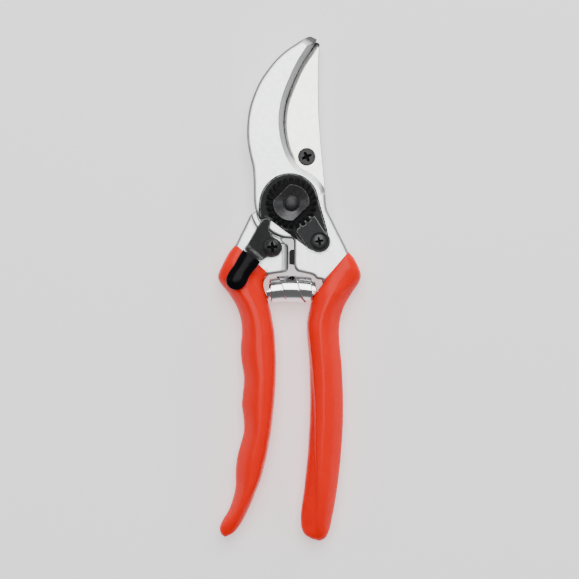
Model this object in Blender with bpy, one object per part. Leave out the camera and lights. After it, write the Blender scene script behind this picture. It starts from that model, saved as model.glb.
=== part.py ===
"""Bypass pruning shears, closed and locked, lying on a flat surface with the nut side up.

Frame: metres, +Z up out of the nut side, +Y towards the blade tips, +X to the right as seen from above.
The origin is on the pivot axis, on the plane that the bolt's head and the two grips rest on.
All control points below are in millimetres.
"""

import bpy
import bmesh
import math
from mathutils import Matrix, Vector

MM = 0.001

# ---------------------------------------------------------------- driving dimensions (mm)
GRIP_MID_Z = 8.8          # mid plane of the grips and tangs
Z_BOLT_HEAD = (0.0, 2.2)
Z_WASHER = (2.3, 2.9)
Z_BACK_HEAD = (3.0, 5.9)  # pivot head of the blade handle
Z_BLADE = (6.0, 9.2)
Z_FRONT = (9.3, 15.0)     # crescent blade and pivot disc
Z_PLATE = (15.1, 16.3)
Z_NUT = (16.4, 18.2, 20.2)
Z_SEGMENT = (16.4, 18.0)
Z_LEVER = (16.6, 18.2)
LEVER_RISE = 2.3          # how far the catch bends up before its sleeve
Z_SLEEVE = (17.8, 21.6)
R_DISC = 15.0
R_STEP = 17.0             # arc where the left neck rises to its full height
BOLT_R = 4.0
THREAD_R = 3.25
BUSH_R = (4.1, 5.2)
PIVOT_HOLE_R = 5.5
TEETH = 24
NUT_TIP_R, NUT_ROOT_R, NUT_BOSS_R = 10.7, 9.0, 7.8
LATCH_AT = (-8.0, -18.7)
SEGMENT_SCREW_AT = (11.8, -16.2)
BLADE_SCREW_AT = (6.6, 20.2)
GRIP_WALL = 1.3
FIT = 0.3                 # gap between a sleeve and what it holds

# ---------------------------------------------------------------- outlines (mm)
HOOK_OUTER = [(10.9, 69.9), (8.0, 71.1), (5.6, 70.1), (1.4, 67.5), (-2.4, 64.9), (-6.2, 61.5), (-10.4, 56.4), (-13.7, 51.3), (-16.0, 46.1), (-17.7, 41.0),
              (-18.6, 35.9), (-18.9, 30.7), (-18.6, 25.6), (-17.7, 20.5), (-16.5, 15.3), (-16.1, 10.2), (-16.0, 5.1), (-15.9, 0.8), (-15.3, -2.8), (-13.6, -6.4)]
HOOK_INNER = [(14.5, 5.1), (13.6, 7.4), (11.3, 10.2), (7.8, 13.0), (4.2, 15.0), (0.5, 19.2), (-1.5, 23.6), (-2.9, 29.4), (-3.4, 35.5), (-2.4, 43.3),
              (0.5, 51.4), (4.2, 59.2), (8.3, 65.7), (10.9, 69.9)]
NECK_R_OUTER = [(16.2, -4.8), (17.7, -7.7), (20.3, -12.9), (22.2, -16.6), (23.8, -19.9)]
NECK_R_INNER = [(13.0, -32.4), (10.8, -32.1), (9.6, -30.8), (7.5, -30.1), (4.4, -29.4), (2.7, -28.9), (1.6, -27.7), (1.1, -25.7)]
NECK_L_OUTER = [(-17.5, -5.2), (-18.8, -7.7), (-20.0, -10.3), (-21.4, -12.9), (-23.0, -16.3)]
NECK_L_INNER = [(-10.2, -29.0), (-8.7, -30.1), (-5.9, -29.8), (-3.1, -29.3), (-1.8, -28.7), (-1.2, -27.4)]
BACK_HEAD_TOP = [(14.4, 3.0), (13.5, 8.0), (12.3, 15.0), (10.5, 24.0), (8.8, 29.5), (4.5, 31.0), (-1.0, 28.6), (-4.5, 21.0), (-9.0, 14.0), (-13.5, 7.0), (-14.8, 1.0)]
BLADE_EDGE = [(12.2, 68.8), (10.6, 69.4), (7.7, 65.8), (3.4, 59.4), (-0.3, 51.5), (-3.3, 43.3), (-4.4, 35.4), (-4.0, 29.0), (-2.7, 23.3), (-0.9, 18.6), (-4.5, 13.5), (-9.5, 8.0)]
BLADE_SPINE = [(14.0, 3.4), (14.3, 7.7), (13.8, 13.0), (13.3, 18.8), (12.7, 25.2), (12.3, 30.7), (11.8, 37.6), (11.6, 46.6), (11.6, 54.7), (11.7, 62.4), (12.2, 68.8)]
PLATE = [(-13.9, -5.6), (-13.9, -0.9), (-12.5, 5.1), (-9.1, 9.6), (-5.3, 12.0), (-0.3, 12.8), (4.6, 11.7), (8.4, 8.9), (10.6, 5.5), (11.8, 1.2), (13.6, -5.2),
         (15.5, -12.4), (15.8, -15.4), (15.2, -18.4), (13.3, -20.4), (10.6, -20.6), (7.6, -19.3), (2.9, -16.0), (-3.1, -11.6), (-7.4, -8.3), (-8.9, -6.9), (-9.1, -5.9)]
LEVER_FLAT = [(-20.0, -19.5), (-18.1, -16.7), (-16.6, -14.0), (-14.2, -9.8), (-12.2, -7.1), (-11.6, -6.6), (-9.2, -6.7), (-8.6, -7.6), (-9.1, -9.8), (-9.2, -11.3),
              (-8.5, -13.2), (-6.8, -15.0), (-5.3, -16.2), (-4.3, -17.4), (-3.9, -18.8), (-4.4, -20.6), (-5.6, -22.1), (-7.8, -22.9), (-10.2, -22.9), (-11.0, -23.4), (-12.7, -24.5)]
SLEEVE = [(-20.3, -19.8), (-22.0, -22.5), (-24.0, -26.0), (-26.4, -29.4), (-27.5, -32.1), (-27.1, -34.6), (-25.4, -36.3), (-23.3, -36.9), (-20.8, -36.0),
          (-19.1, -34.1), (-17.6, -30.9), (-15.6, -28.2), (-14.2, -26.5), (-13.2, -24.9)]

# Pairs of points across each grip: (outer edge, inner edge, half thickness), from the rim down
GRIP_LEFT = [((-24.0, -17.6), (-9.7, -30.1), 7.0), ((-26.5, -20.6), (-11.4, -32.6), 7.5), ((-29.3, -25.7), (-11.8, -35.0), 8.1), ((-31.4, -30.8), (-11.0, -38.0), 8.5),
             ((-30.7, -33.4), (-10.2, -40.5), 8.7), ((-26.7, -38.5), (-9.4, -43.6), 8.8), ((-23.6, -43.6), (-8.6, -46.5), 8.8), ((-21.8, -48.8), (-8.0, -50.0), 8.8),
             ((-21.2, -53.9), (-7.2, -54.5), 8.8), ((-21.7, -61.6), (-6.7, -61.8), 8.8), ((-21.4, -66.7), (-6.5, -67.0), 8.8), ((-20.3, -74.4), (-6.6, -74.4), 8.8),
             ((-20.9, -82.1), (-7.0, -82.1), 8.8), ((-21.2, -86.0), (-7.4, -86.5), 8.8), ((-20.4, -92.4), (-8.0, -92.4), 8.8), ((-20.4, -97.5), (-8.6, -97.5), 8.8),
             ((-21.7, -102.6), (-9.4, -102.0), 8.8), ((-23.1, -107.8), (-10.3, -107.0), 8.8), ((-23.8, -113.8), (-11.6, -112.5), 8.6), ((-23.9, -120.6), (-13.3, -118.5), 8.2),
             ((-24.9, -125.7), (-15.1, -123.0), 7.7), ((-26.8, -130.9), (-17.3, -128.5), 6.9), ((-29.8, -136.0), (-20.2, -134.5), 5.6), ((-30.7, -138.6), (-22.0, -137.5), 4.6),
             ((-30.1, -141.1), (-24.6, -140.6), 3.2), ((-28.8, -142.4), (-27.1, -142.0), 1.6)]
GRIP_RIGHT = [((24.6, -20.7), (14.0, -33.1), 7.0), ((26.7, -23.1), (12.05, -35.9), 7.5), ((29.3, -28.3), (9.7, -38.9), 8.1), ((29.8, -30.8), (9.2, -40.4), 8.4),
              ((29.1, -33.4), (8.3, -42.4), 8.7), ((25.7, -38.5), (7.65, -45.4), 8.8), ((22.8, -43.6), (7.0, -48.2), 8.8), ((21.1, -48.8), (6.6, -51.5), 8.8),
              ((20.5, -53.9), (6.6, -54.8), 8.8), ((20.9, -61.6), (7.2, -61.8), 8.8), ((21.6, -68.4), (7.7, -68.6), 8.8), ((21.9, -74.4), (7.85, -74.6), 8.8),
              ((22.2, -82.1), (8.0, -82.1), 8.8), ((22.2, -92.4), (7.85, -92.4), 8.8), ((21.9, -98.8), (7.5, -98.8), 8.8), ((21.4, -106.1), (7.0, -106.5), 8.8),
              ((20.5, -115.5), (6.1, -115.5), 8.6), ((19.5, -123.2), (5.3, -123.2), 8.2), ((18.2, -130.9), (4.2, -130.9), 7.4), ((17.4, -134.8), (4.0, -135.0), 6.8),
              ((16.6, -138.6), (4.4, -138.8), 5.8), ((15.7, -141.1), (5.6, -141.3), 4.6), ((14.7, -142.8), (8.0, -142.9), 3.2), ((12.9, -143.9), (11.2, -144.0), 1.6)]
TANG_END = {"left": 20, "right": 18}   # the pair at which each tang stops


# ---------------------------------------------------------------- helpers
def material(name, rgb, roughness, metallic):
    m = bpy.data.materials.new(name)
    m.use_nodes = True
    b = m.node_tree.nodes["Principled BSDF"]
    b.inputs["Base Color"].default_value = (*rgb, 1.0)
    b.inputs["Roughness"].default_value = roughness
    b.inputs["Metallic"].default_value = metallic
    return m


def smooth(points, step=3.0):
    """A centripetal Catmull-Rom curve through the points, with a vertex about every step mm."""
    p = [Vector(q) for q in points]
    p = [p[0] * 2 - p[1]] + p + [p[-1] * 2 - p[-2]]
    out = []
    for i in range(1, len(p) - 2):
        p0, p1, p2, p3 = p[i - 1:i + 3]
        t1 = max((p1 - p0).length, 1e-6) ** 0.5
        t2 = t1 + max((p2 - p1).length, 1e-6) ** 0.5
        t3 = t2 + max((p3 - p2).length, 1e-6) ** 0.5
        count = max(1, round((p2 - p1).length / step))
        for j in range(count):
            t = t1 + (t2 - t1) * j / count
            a1 = p0 * ((t1 - t) / t1) + p1 * (t / t1)
            a2 = p1 * ((t2 - t) / (t2 - t1)) + p2 * ((t - t1) / (t2 - t1))
            a3 = p2 * ((t3 - t) / (t3 - t2)) + p3 * ((t - t2) / (t3 - t2))
            b1 = a1 * ((t2 - t) / t2) + a2 * (t / t2)
            b2 = a2 * ((t3 - t) / (t3 - t1)) + a3 * ((t - t1) / (t3 - t1))
            out.append(b1 * ((t2 - t) / (t2 - t1)) + b2 * ((t - t1) / (t2 - t1)))
    out.append(p[-2])
    return [(v.x, v.y) for v in out]


def arc(r, a0, a1, count, at=(0.0, 0.0)):
    return [(at[0] + r * math.cos(math.radians(a0 + (a1 - a0) * i / count)), at[1] + r * math.sin(math.radians(a0 + (a1 - a0) * i / count))) for i in range(count + 1)]


def clean(loop):
    """Drops points that lie closer than 0.05 mm to the one before."""
    out = []
    for q in loop:
        if not out or math.dist(q, out[-1]) > 0.05:
            out.append(q)
    if math.dist(out[0], out[-1]) < 0.05:
        out.pop()
    return out


def area(loop):
    return 0.5 * sum(a[0] * b[1] - b[0] * a[1] for a, b in zip(loop, loop[1:] + loop[:1]))


def inset(loop, d):
    """The loop moved inwards by d along its corner normals."""
    if area(loop) < 0:
        loop = loop[::-1]
    out = []
    n = len(loop)
    for i in range(n):
        a, b, c = Vector(loop[i - 1]), Vector(loop[i]), Vector(loop[(i + 1) % n])
        u, v = (b - a).normalized(), (c - b).normalized()
        nu, nv = Vector((-u.y, u.x)), Vector((-v.y, v.x))
        m = nu + nv
        m = m / max(m.length_squared / 2, 0.35)
        out.append(tuple(b + m * d))
    return out


def add(name, bm, mat, parent=None, helper=False):
    """Makes the object from a bmesh in millimetres, with its origin on its parent's axis."""
    bmesh.ops.recalc_face_normals(bm, faces=bm.faces[:])
    at = Vector(parent.location) if parent else Vector((0, 0, 0))
    bmesh.ops.transform(bm, matrix=Matrix.Translation(-at) @ Matrix.Scale(MM, 4), verts=bm.verts[:])
    mesh = bpy.data.meshes.new(name)
    bm.to_mesh(mesh)
    bm.free()
    if mat:
        mesh.materials.append(mat)
    o = bpy.data.objects.new(name, mesh)
    bpy.context.scene.collection.objects.link(o)
    o.parent = parent
    if helper:
        o.hide_render = True
        o.display_type = "WIRE"
    else:
        mesh.shade_smooth()
        mesh.set_sharp_from_angle(angle=math.radians(35))
    return o


def stack(rings):
    """A closed body from rings of equal length (lists of 3-D points), capped at both ends."""
    bm = bmesh.new()
    vs = [[bm.verts.new(p) for p in r] for r in rings]
    n = len(rings[0])
    for a, b in zip(vs, vs[1:]):
        for i in range(n):
            bm.faces.new((a[i], a[(i + 1) % n], b[(i + 1) % n], b[i]))
    bm.faces.new(vs[0])
    bm.faces.new(vs[-1])
    return bm


def prism(loop, z0, z1, top_edge=0.0, low_edge=0.0):
    """The outline extruded from z0 to z1, with its upper and lower edges chamfered."""
    loop = clean(loop)
    if area(loop) < 0:
        loop = loop[::-1]
    rings = []
    if low_edge:
        rings.append([(x, y, z0) for x, y in inset(loop, low_edge)])
    rings.append([(x, y, z0 + low_edge) for x, y in loop])
    rings.append([(x, y, z1 - top_edge) for x, y in loop])
    if top_edge:
        rings.append([(x, y, z1) for x, y in inset(loop, top_edge)])
    return stack(rings)


def turned(profile, sides, at=(0.0, 0.0)):
    """A solid of revolution: profile is (radius, z) from the axis at the bottom to the axis at the top."""
    bm = bmesh.new()
    rings = []
    for r, z in profile:
        if r < 1e-6:
            rings.append([bm.verts.new((at[0], at[1], z))])
        else:
            rings.append([bm.verts.new((x, y, z)) for x, y in arc(r, 0, 360 * (sides - 1) / sides, sides - 1, at)])
    for a, b in zip(rings, rings[1:]):
        for i in range(sides):
            j = (i + 1) % sides
            if len(a) == 1:
                bm.faces.new((a[0], b[i], b[j]))
            elif len(b) == 1:
                bm.faces.new((a[i], b[0], a[j]))
            else:
                bm.faces.new((a[i], a[j], b[j], b[i]))
    return bm


def tube(profile, sides, at=(0.0, 0.0)):
    """A ring-shaped solid of revolution: profile is a closed loop of (radius, z)."""
    bm = bmesh.new()
    rings = [[bm.verts.new((x, y, z)) for x, y in arc(r, 0, 360 * (sides - 1) / sides, sides - 1, at)] for r, z in profile]
    for a, b in zip(rings, rings[1:] + rings[:1]):
        for i in range(sides):
            j = (i + 1) % sides
            bm.faces.new((a[i], a[j], b[j], b[i]))
    return bm


def cylinder(r, z0, z1, at=(0.0, 0.0), sides=32):
    return turned([(0, z0), (r, z0), (r, z1), (0, z1)], sides, at)


def boolean(target, tool, operation, solver="EXACT"):
    m = target.modifiers.new(operation.lower() + "_" + tool.name, "BOOLEAN")
    m.operation = operation
    m.solver = solver
    m.object = tool


count = [0]


def cut(target, bm):
    count[0] += 1
    boolean(target, add(f"cutter_{count[0]}", bm, None, None, True), "DIFFERENCE")


def join(target, bm, solver="EXACT"):
    count[0] += 1
    boolean(target, add(f"joined_{count[0]}", bm, None, None, True), "UNION", solver)


def section(a, b, half, shrink, sides, power=2.5, slide=0.0):
    """A rounded section across a grip, between edge points a and b, shrunk by a wall thickness."""
    a, b = Vector(a), Vector(b)
    c, u = (a + b) / 2, (a - b) / 2
    w = u.length
    u = u / w
    down = Vector((u.y, -u.x))
    if down.y > 0:
        down = -down
    c = c + down * slide
    ring = []
    for i in range(sides):
        t = 2 * math.pi * i / sides
        x = math.copysign(abs(math.cos(t)) ** (2 / power), math.cos(t)) * (w - shrink)
        z = math.copysign(abs(math.sin(t)) ** (2 / power), math.sin(t)) * (half - shrink)
        q = c + u * x
        ring.append((q.x, q.y, GRIP_MID_Z + z))
    return ring


def cross(at, size, depth_z, top_z, turn):
    """A Phillips recess, as one cross-shaped prism."""
    w, l = size * 0.16, size * 0.55
    pts = [(l, w), (w, w), (w, l), (-w, l), (-w, w), (-l, w), (-l, -w), (-w, -w), (-w, -l), (w, -l), (w, -w), (l, -w)]
    c, s = math.cos(math.radians(turn)), math.sin(math.radians(turn))
    return prism([(at[0] + x * c - y * s, at[1] + x * s + y * c) for x, y in pts], depth_z, top_z)


# ---------------------------------------------------------------- the model
for o in list(bpy.data.objects):
    bpy.data.objects.remove(o, do_unlink=True)

ALLOY = material("satin_alloy", (0.78, 0.79, 0.80), 0.38, 0.9)
STEEL = material("ground_steel", (0.72, 0.71, 0.69), 0.28, 1.0)
BLACK = material("black_steel", (0.035, 0.038, 0.04), 0.42, 0.6)
SEGMENT = material("grey_steel", (0.06, 0.062, 0.065), 0.4, 0.7)
CHROME = material("spring_chrome", (0.85, 0.85, 0.86), 0.08, 1.0)
RED = material("red_vinyl", (0.82, 0.035, 0.012), 0.3, 0.0)
SLEEVE_BLACK = material("black_vinyl", (0.012, 0.012, 0.013), 0.2, 0.0)
RUBBER = material("black_rubber", (0.02, 0.02, 0.02), 0.6, 0.0)
BRONZE = material("bush_bronze", (0.6, 0.42, 0.2), 0.35, 1.0)
BRIGHT = material("washer_steel", (0.6, 0.6, 0.6), 0.3, 1.0)

pivot_axis = bpy.data.objects.new("handle_pivot_axis", None)
latch_axis = bpy.data.objects.new("latch_axis", None)
for e in (pivot_axis, latch_axis):
    bpy.context.scene.collection.objects.link(e)
latch_axis.location = (LATCH_AT[0] * MM, LATCH_AT[1] * MM, Z_LEVER[0] * MM)

# Front forging: crescent blade, pivot disc and right handle
disc_low = arc(R_DISC, 205, 256, 8)
front = smooth(HOOK_OUTER) + disc_low + [(-3.7, -14.7), (0.5, -15.0), (1.1, -16.4)] + smooth(NECK_R_INNER, 2)[::-1] + smooth(NECK_R_OUTER)[::-1] \
    + smooth([(15.2, -2.6), (14.6, 1.7), (14.5, 5.1)])[::1] + smooth(HOOK_INNER)
hook_handle = add("hook_handle", prism(front, *Z_FRONT, 0.5), ALLOY)
neck = arc(R_STEP, -84, -17, 8) + smooth(NECK_R_OUTER[1:]) + smooth(NECK_R_INNER, 2)
join(hook_handle, prism(inset(clean(neck), 0.12), Z_BACK_HEAD[0], Z_FRONT[0] + 0.8, 0.0, 0.4))


def tang(pairs, last, extra):
    """The tapered bar inside a grip, entering the neck by extra mm."""
    rings = [section(a, b, h, GRIP_WALL + FIT, 20, slide=s) for (a, b, h), s in [(pairs[0], -extra), (pairs[0], 0.0)]]
    rings += [section(a, b, h, GRIP_WALL + FIT + 0.1 * min(i, 4), 20) for i, (a, b, h) in enumerate(pairs[:last + 1]) if i > 0]
    return stack(rings)


join(hook_handle, tang(GRIP_RIGHT, TANG_END["right"], 3.0))
PEG_Y, PEG_R = -36.9, 1.7


def peg(x0, x1, y):
    """A spring seat: a short round peg along X."""
    rings = []
    for x, r in ((x0, PEG_R + 0.5), (x0 + 0.75 * (x1 - x0), PEG_R), (x1, PEG_R - 0.5)):
        rings.append([(x, y + r * math.cos(2 * math.pi * i / 12), GRIP_MID_Z + r * math.sin(2 * math.pi * i / 12)) for i in range(12)])
    return stack(rings)


join(hook_handle, peg(17.0, 8.4, PEG_Y))
cut(hook_handle, cylinder(BOLT_R + 0.3, 8.0, 16.0, sides=40))
cut(hook_handle, cylinder(2.3, 8.0, 16.0, SEGMENT_SCREW_AT, 20))
cut(hook_handle, prism([(0.6, -26.3), (3.2, -26.3), (3.2, -19.3), (0.6, -19.3)], 4.2, 13.8))

# Left forging: pivot head behind the blade, neck and tang
back = smooth(BACK_HEAD_TOP) + arc(R_DISC - 0.2, 180, 190, 2)[1:] + smooth([(-16.0, -3.4)] + NECK_L_OUTER) + smooth(NECK_L_INNER, 2) \
    + [(-1.2, -18.9), (-1.6, -17.5), (-2.9, -16.5), (-3.9, -15.7), (-4.0, -14.9)] + arc(R_DISC - 0.2, -104, 10, 14)
blade_handle = add("blade_handle", prism(back, *Z_BACK_HEAD, 0.0, 0.4), ALLOY, pivot_axis)
mid = arc(15.3, 193, 252, 8)[::-1] + smooth([(-16.1, -3.6)] + NECK_L_OUTER) + smooth(NECK_L_INNER, 2) + [(-1.2, -18.9), (-1.6, -17.5), (-2.9, -16.5)]
join(blade_handle, prism(inset(clean(mid), 0.12), Z_BACK_HEAD[1] - 0.8, Z_BLADE[1]))
high = arc(R_STEP, 204, 257, 8)[::-1] + smooth([(-18.5, -7.1)] + NECK_L_OUTER[2:]) + smooth(NECK_L_INNER, 2) + [(-1.2, -18.9), (-1.6, -17.6)]
join(blade_handle, prism(high, Z_BLADE[1] - 0.8, Z_FRONT[1], 0.4))
join(blade_handle, tang(GRIP_LEFT, TANG_END["left"], 3.0))
join(blade_handle, peg(-17.0, -8.4, PEG_Y))
cut(blade_handle, cylinder(PIVOT_HOLE_R, 1.0, 7.0, sides=40))
cut(blade_handle, cylinder(2.8, 1.0, 7.0, BLADE_SCREW_AT, 20))
cut(blade_handle, cylinder(2.9, 7.5, 16.0, LATCH_AT, 20))


# Grips: hollow sleeves, closed at their lower ends
def grip(name, pairs, last, seat_x, parent):
    sides = 20
    outer = [section(a, b, h, 0.0, sides) for a, b, h in pairs]
    inner = [section(a, b, h, GRIP_WALL + (0.0 if i == 0 else 0.15), sides) for i, (a, b, h) in enumerate(pairs[:last + 1])]
    a, b, h = pairs[last]
    inner.append(section(a, b, h, GRIP_WALL + 0.15, sides, slide=1.2))
    bm = bmesh.new()
    rings = [[bm.verts.new(p) for p in r] for r in inner[::-1] + outer]
    for p, q in zip(rings, rings[1:]):
        for i in range(sides):
            bm.faces.new((p[i], p[(i + 1) % sides], q[(i + 1) % sides], q[i]))
    bm.faces.new(rings[0])
    bm.faces.new(rings[-1])
    o = add(name, bm, RED, parent)
    side = 1 if seat_x > 0 else -1
    rings = [[(x, PEG_Y + (PEG_R + 0.9) * math.cos(2 * math.pi * i / 16), GRIP_MID_Z + (PEG_R + 0.9) * math.sin(2 * math.pi * i / 16)) for i in range(16)] for x in (seat_x, seat_x + side * 6)]
    cut(o, stack(rings))
    return o


right_grip = grip("right_grip", GRIP_RIGHT, TANG_END["right"], 7.5, None)
left_grip = grip("left_grip", GRIP_LEFT, TANG_END["left"], -7.5, pivot_axis)

# Cutting blade
blade = smooth(BLADE_EDGE) + arc(13.2, 150, 360, 16) + smooth(BLADE_SPINE)
cutting_blade = add("cutting_blade", prism(blade, *Z_BLADE, 0.0, 0.0), STEEL, pivot_axis)
cut(cutting_blade, cylinder(PIVOT_HOLE_R, 5.0, 10.0, sides=40))
cut(cutting_blade, cylinder(2.8, 5.0, 10.0, BLADE_SCREW_AT, 20))
screw = add("blade_screw", turned([(0, 3.2), (2.2, 3.2), (2.5, 3.5), (2.5, 9.3), (3.8, 9.3), (3.8, 9.9), (3.1, 10.5), (1.6, 10.8), (0, 10.9)], 28, BLADE_SCREW_AT), BLACK, pivot_axis)
cut(screw, cross(BLADE_SCREW_AT, 3.8, 9.9, 12.0, 40))

# Pivot: bolt, washer, bush, plate, nut
add("pivot_bolt", turned([(0, 0), (7.6, 0), (8.0, 0.4), (8.0, 1.8), (7.6, Z_BOLT_HEAD[1]), (BOLT_R, Z_BOLT_HEAD[1]), (BOLT_R, 14.9), (THREAD_R, 14.9),
                           (THREAD_R, 18.9), (2.9, 19.2), (1.5, 19.4), (0, 19.45)], 40), BLACK)
add("bolt_washer", tube([(BOLT_R + 0.3, Z_WASHER[0]), (7.8, Z_WASHER[0]), (7.8, Z_WASHER[1]), (BOLT_R + 0.3, Z_WASHER[1])], 36), BRIGHT, pivot_axis)
add("pivot_bush", tube([(BUSH_R[0], 3.1), (BUSH_R[1], 3.1), (BUSH_R[1], 9.1), (BUSH_R[0], 9.1)], 40), BRONZE, pivot_axis)
plate = add("pivot_plate", prism(smooth(PLATE[:-4], 2.5) + PLATE[-4:], *Z_PLATE, 0.25, 0.0), BLACK)
cut(plate, cylinder(THREAD_R + 0.35, 14.0, 18.0, sides=32))
cut(plate, cylinder(2.3, 14.0, 18.0, SEGMENT_SCREW_AT, 20))

pitch = 360 / TEETH
gear = []
for i in range(TEETH):
    m = i * pitch
    for da, r in ((-0.30, NUT_ROOT_R), (-0.20, NUT_TIP_R), (0.20, NUT_TIP_R), (0.30, NUT_ROOT_R)):
        gear.append((r * math.cos(math.radians(m + da * pitch)), r * math.sin(math.radians(m + da * pitch))))
nut = add("toothed_nut", prism(gear, Z_NUT[0], Z_NUT[1]), BLACK)
flat = 6.1
a_flat = math.degrees(math.acos(flat / NUT_BOSS_R))
boss = arc(NUT_BOSS_R, 135 + a_flat, 315 - a_flat, 14) + arc(NUT_BOSS_R, 315 + a_flat, 495 - a_flat, 14)
join(nut, prism(boss, Z_NUT[1] - 0.6, Z_NUT[2], 0.3))
cut(nut, turned([(0, 15.0), (THREAD_R + 0.35, 15.0), (THREAD_R + 0.35, 18.6), (5.6, 20.3), (5.6, 21.0), (0, 21.0)], 32))

# Locking segment with three teeth in the nut's gaps
seg = []
for i in (-5, -4, -3):
    m = i * pitch + pitch / 2 - pitch * 0.0
    for da, r in ((-0.22, NUT_TIP_R + 0.3), (-0.12, NUT_ROOT_R + 0.35), (0.12, NUT_ROOT_R + 0.35), (0.22, NUT_TIP_R + 0.3)):
        seg.append((r * math.cos(math.radians(m + da * pitch)), r * math.sin(math.radians(m + da * pitch))))
seg = [(2.2, -12.2), (2.6, -10.85)] + seg + [(9.7, -5.35), (11.0, -7.3), (14.2, -12.4)] + arc(4.7, 25, -130, 10, SEGMENT_SCREW_AT) + [(7.2, -19.4)]
segment = add("lock_segment", prism(seg, *Z_SEGMENT), SEGMENT)
cut(segment, turned([(0, 16.0), (2.3, 16.0), (2.3, 16.9), (3.4, 17.0), (3.4, 19.0), (0, 19.0)], 24, SEGMENT_SCREW_AT))
screw = add("segment_screw", turned([(0, 9.0), (1.7, 9.0), (2.0, 9.3), (2.0, 17.1), (3.05, 17.1), (3.05, 17.8), (2.5, 18.3), (0, 18.5)], 24, SEGMENT_SCREW_AT), BLACK)
cut(screw, cross(SEGMENT_SCREW_AT, 3.05, 17.5, 20.0, 15))

# Rubber bumper, let into the right handle's inner face
add("rubber_bumper", prism([(-0.9, -20.6), (-0.2, -19.6), (2.9, -19.6), (2.9, -26.0), (0.4, -26.0), (-0.9, -25.6)], 4.6, 13.5, 0.2, 0.2), RUBBER)

# Catch: lever, sleeve, screw and wave washer
TONGUE = [(0.4, 1.25), (4.0, 1.6), (8.0, 1.9), (12.0, 2.3), (14.6, 3.2)]   # distance along the sleeve, set-in from its edges
bend_a, bend_b = Vector((-19.9, -19.4)), Vector((-12.6, -24.4))
along = Vector((-0.56, -0.83)).normalized()


def across_tongue(d, narrow):
    """The two edge points of the catch's tongue at a distance d below the bend."""
    pa, pb = bend_a + along * d * 1.02, bend_b + along * d * 0.98
    u = (pb - pa).normalized()
    lean = Vector((-0.06, -0.03)) * max(d - 4.0, 0)
    return pa + u * narrow + lean * 0.6, pb - u * narrow - lean * 0.25


lever_loop = [LEVER_FLAT[1]] + smooth(LEVER_FLAT[2:-2], 2.5) + [(-10.7, -23.05)]
bm = bmesh.new()
top = Z_LEVER[1]
flat_verts = [bm.verts.new((x, y, top)) for x, y in lever_loop]
bm.faces.new(flat_verts)
left, right = flat_verts[0], flat_verts[-1]
start_a, start_b = left.co.xy.copy(), right.co.xy.copy()
edges = []
for f, rise in ((0.3, 0.4), (0.7, LEVER_RISE - 0.4), (1.0, LEVER_RISE)):
    edges.append((start_a.lerp(bend_a, f), start_b.lerp(bend_b, f), rise))
edges += [(*across_tongue(d, narrow), LEVER_RISE) for d, narrow in TONGUE]
for pa, pb, rise in edges:
    l2, r2 = bm.verts.new((pa.x, pa.y, top + rise)), bm.verts.new((pb.x, pb.y, top + rise))
    bm.faces.new((left, right, r2, l2))
    left, right = l2, r2
lever = add("latch_lever", bm, BLACK, latch_axis)
if lever.data.polygons[0].normal.z < 0:
    lever.data.flip_normals()
solid = lever.modifiers.new("thickness", "SOLIDIFY")
solid.thickness = (Z_LEVER[1] - Z_LEVER[0]) * MM
solid.offset = -1.0
cut(lever, cylinder(2.75, 15.0, 20.0, LATCH_AT, 32))
sleeve_loop = smooth(SLEEVE, 2.5)
sleeve = add("latch_sleeve", prism(sleeve_loop, *Z_SLEEVE, 0.9, 0.9), SLEEVE_BLACK, latch_axis)
hollow = [across_tongue(d, narrow - 0.35) for d, narrow in [(-0.8, 0.9)] + TONGUE[:-1] + [(15.1, 3.2)]]
loop = [tuple(p[0]) for p in hollow] + [tuple(p[1]) for p in hollow[::-1]]
cut(sleeve, prism(loop, Z_LEVER[0] + LEVER_RISE - 0.25, Z_LEVER[1] + LEVER_RISE + 0.25))
screw = add("latch_screw", turned([(0, 8.0), (2.3, 8.0), (2.6, 8.3), (2.6, 18.3), (3.9, 18.3), (3.9, 18.9), (3.4, 19.9), (2.2, 20.5), (0, 20.75)], 32, LATCH_AT), BLACK, pivot_axis)
cut(screw, cross(LATCH_AT, 3.9, 19.3, 22.0, 5))
wave = []
bm = bmesh.new()
n = 24
rings = []
for r, dz in ((2.9, 0.0), (4.0, 0.0), (4.0, 0.45), (2.9, 0.45)):
    rings.append([bm.verts.new((LATCH_AT[0] + r * math.cos(2 * math.pi * i / n), LATCH_AT[1] + r * math.sin(2 * math.pi * i / n),
                                15.55 + dz + 0.4 * math.cos(3 * 2 * math.pi * i / n))) for i in range(n)])
for a, b in zip(rings, rings[1:] + rings[:1]):
    for i in range(n):
        bm.faces.new((a[i], a[(i + 1) % n], b[(i + 1) % n], b[i]))
add("latch_washer", bm, BRIGHT, pivot_axis)

# Double volute spring: one strip, widest at its middle turn, both halves wound inwards
SPRING_TURNS, SPRING_R, SPRING_PITCH, STRIP = 2.2, 5.75, 1.1, 0.75
SPRING_HALF, SPRING_Y, SPRING_BOW = 9.8, -36.2, 1.0


def strip_edges(t):
    """Right and left edges of the strip t turns from the middle (t < 0 on the left half)."""
    def right_of_left_half(u):
        return 4.2 * (1 - 2 * u) if u < 0.9 else 4.2 * (1 - 1.8) - 0.9 * (u - 0.9)
    def left_of_left_half(u):
        return -4.2 - (SPRING_HALF - 4.2) * min(u / SPRING_TURNS, 1.0)
    if t <= 0:
        return left_of_left_half(-t), right_of_left_half(-t)
    return -right_of_left_half(t), -left_of_left_half(t)


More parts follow.
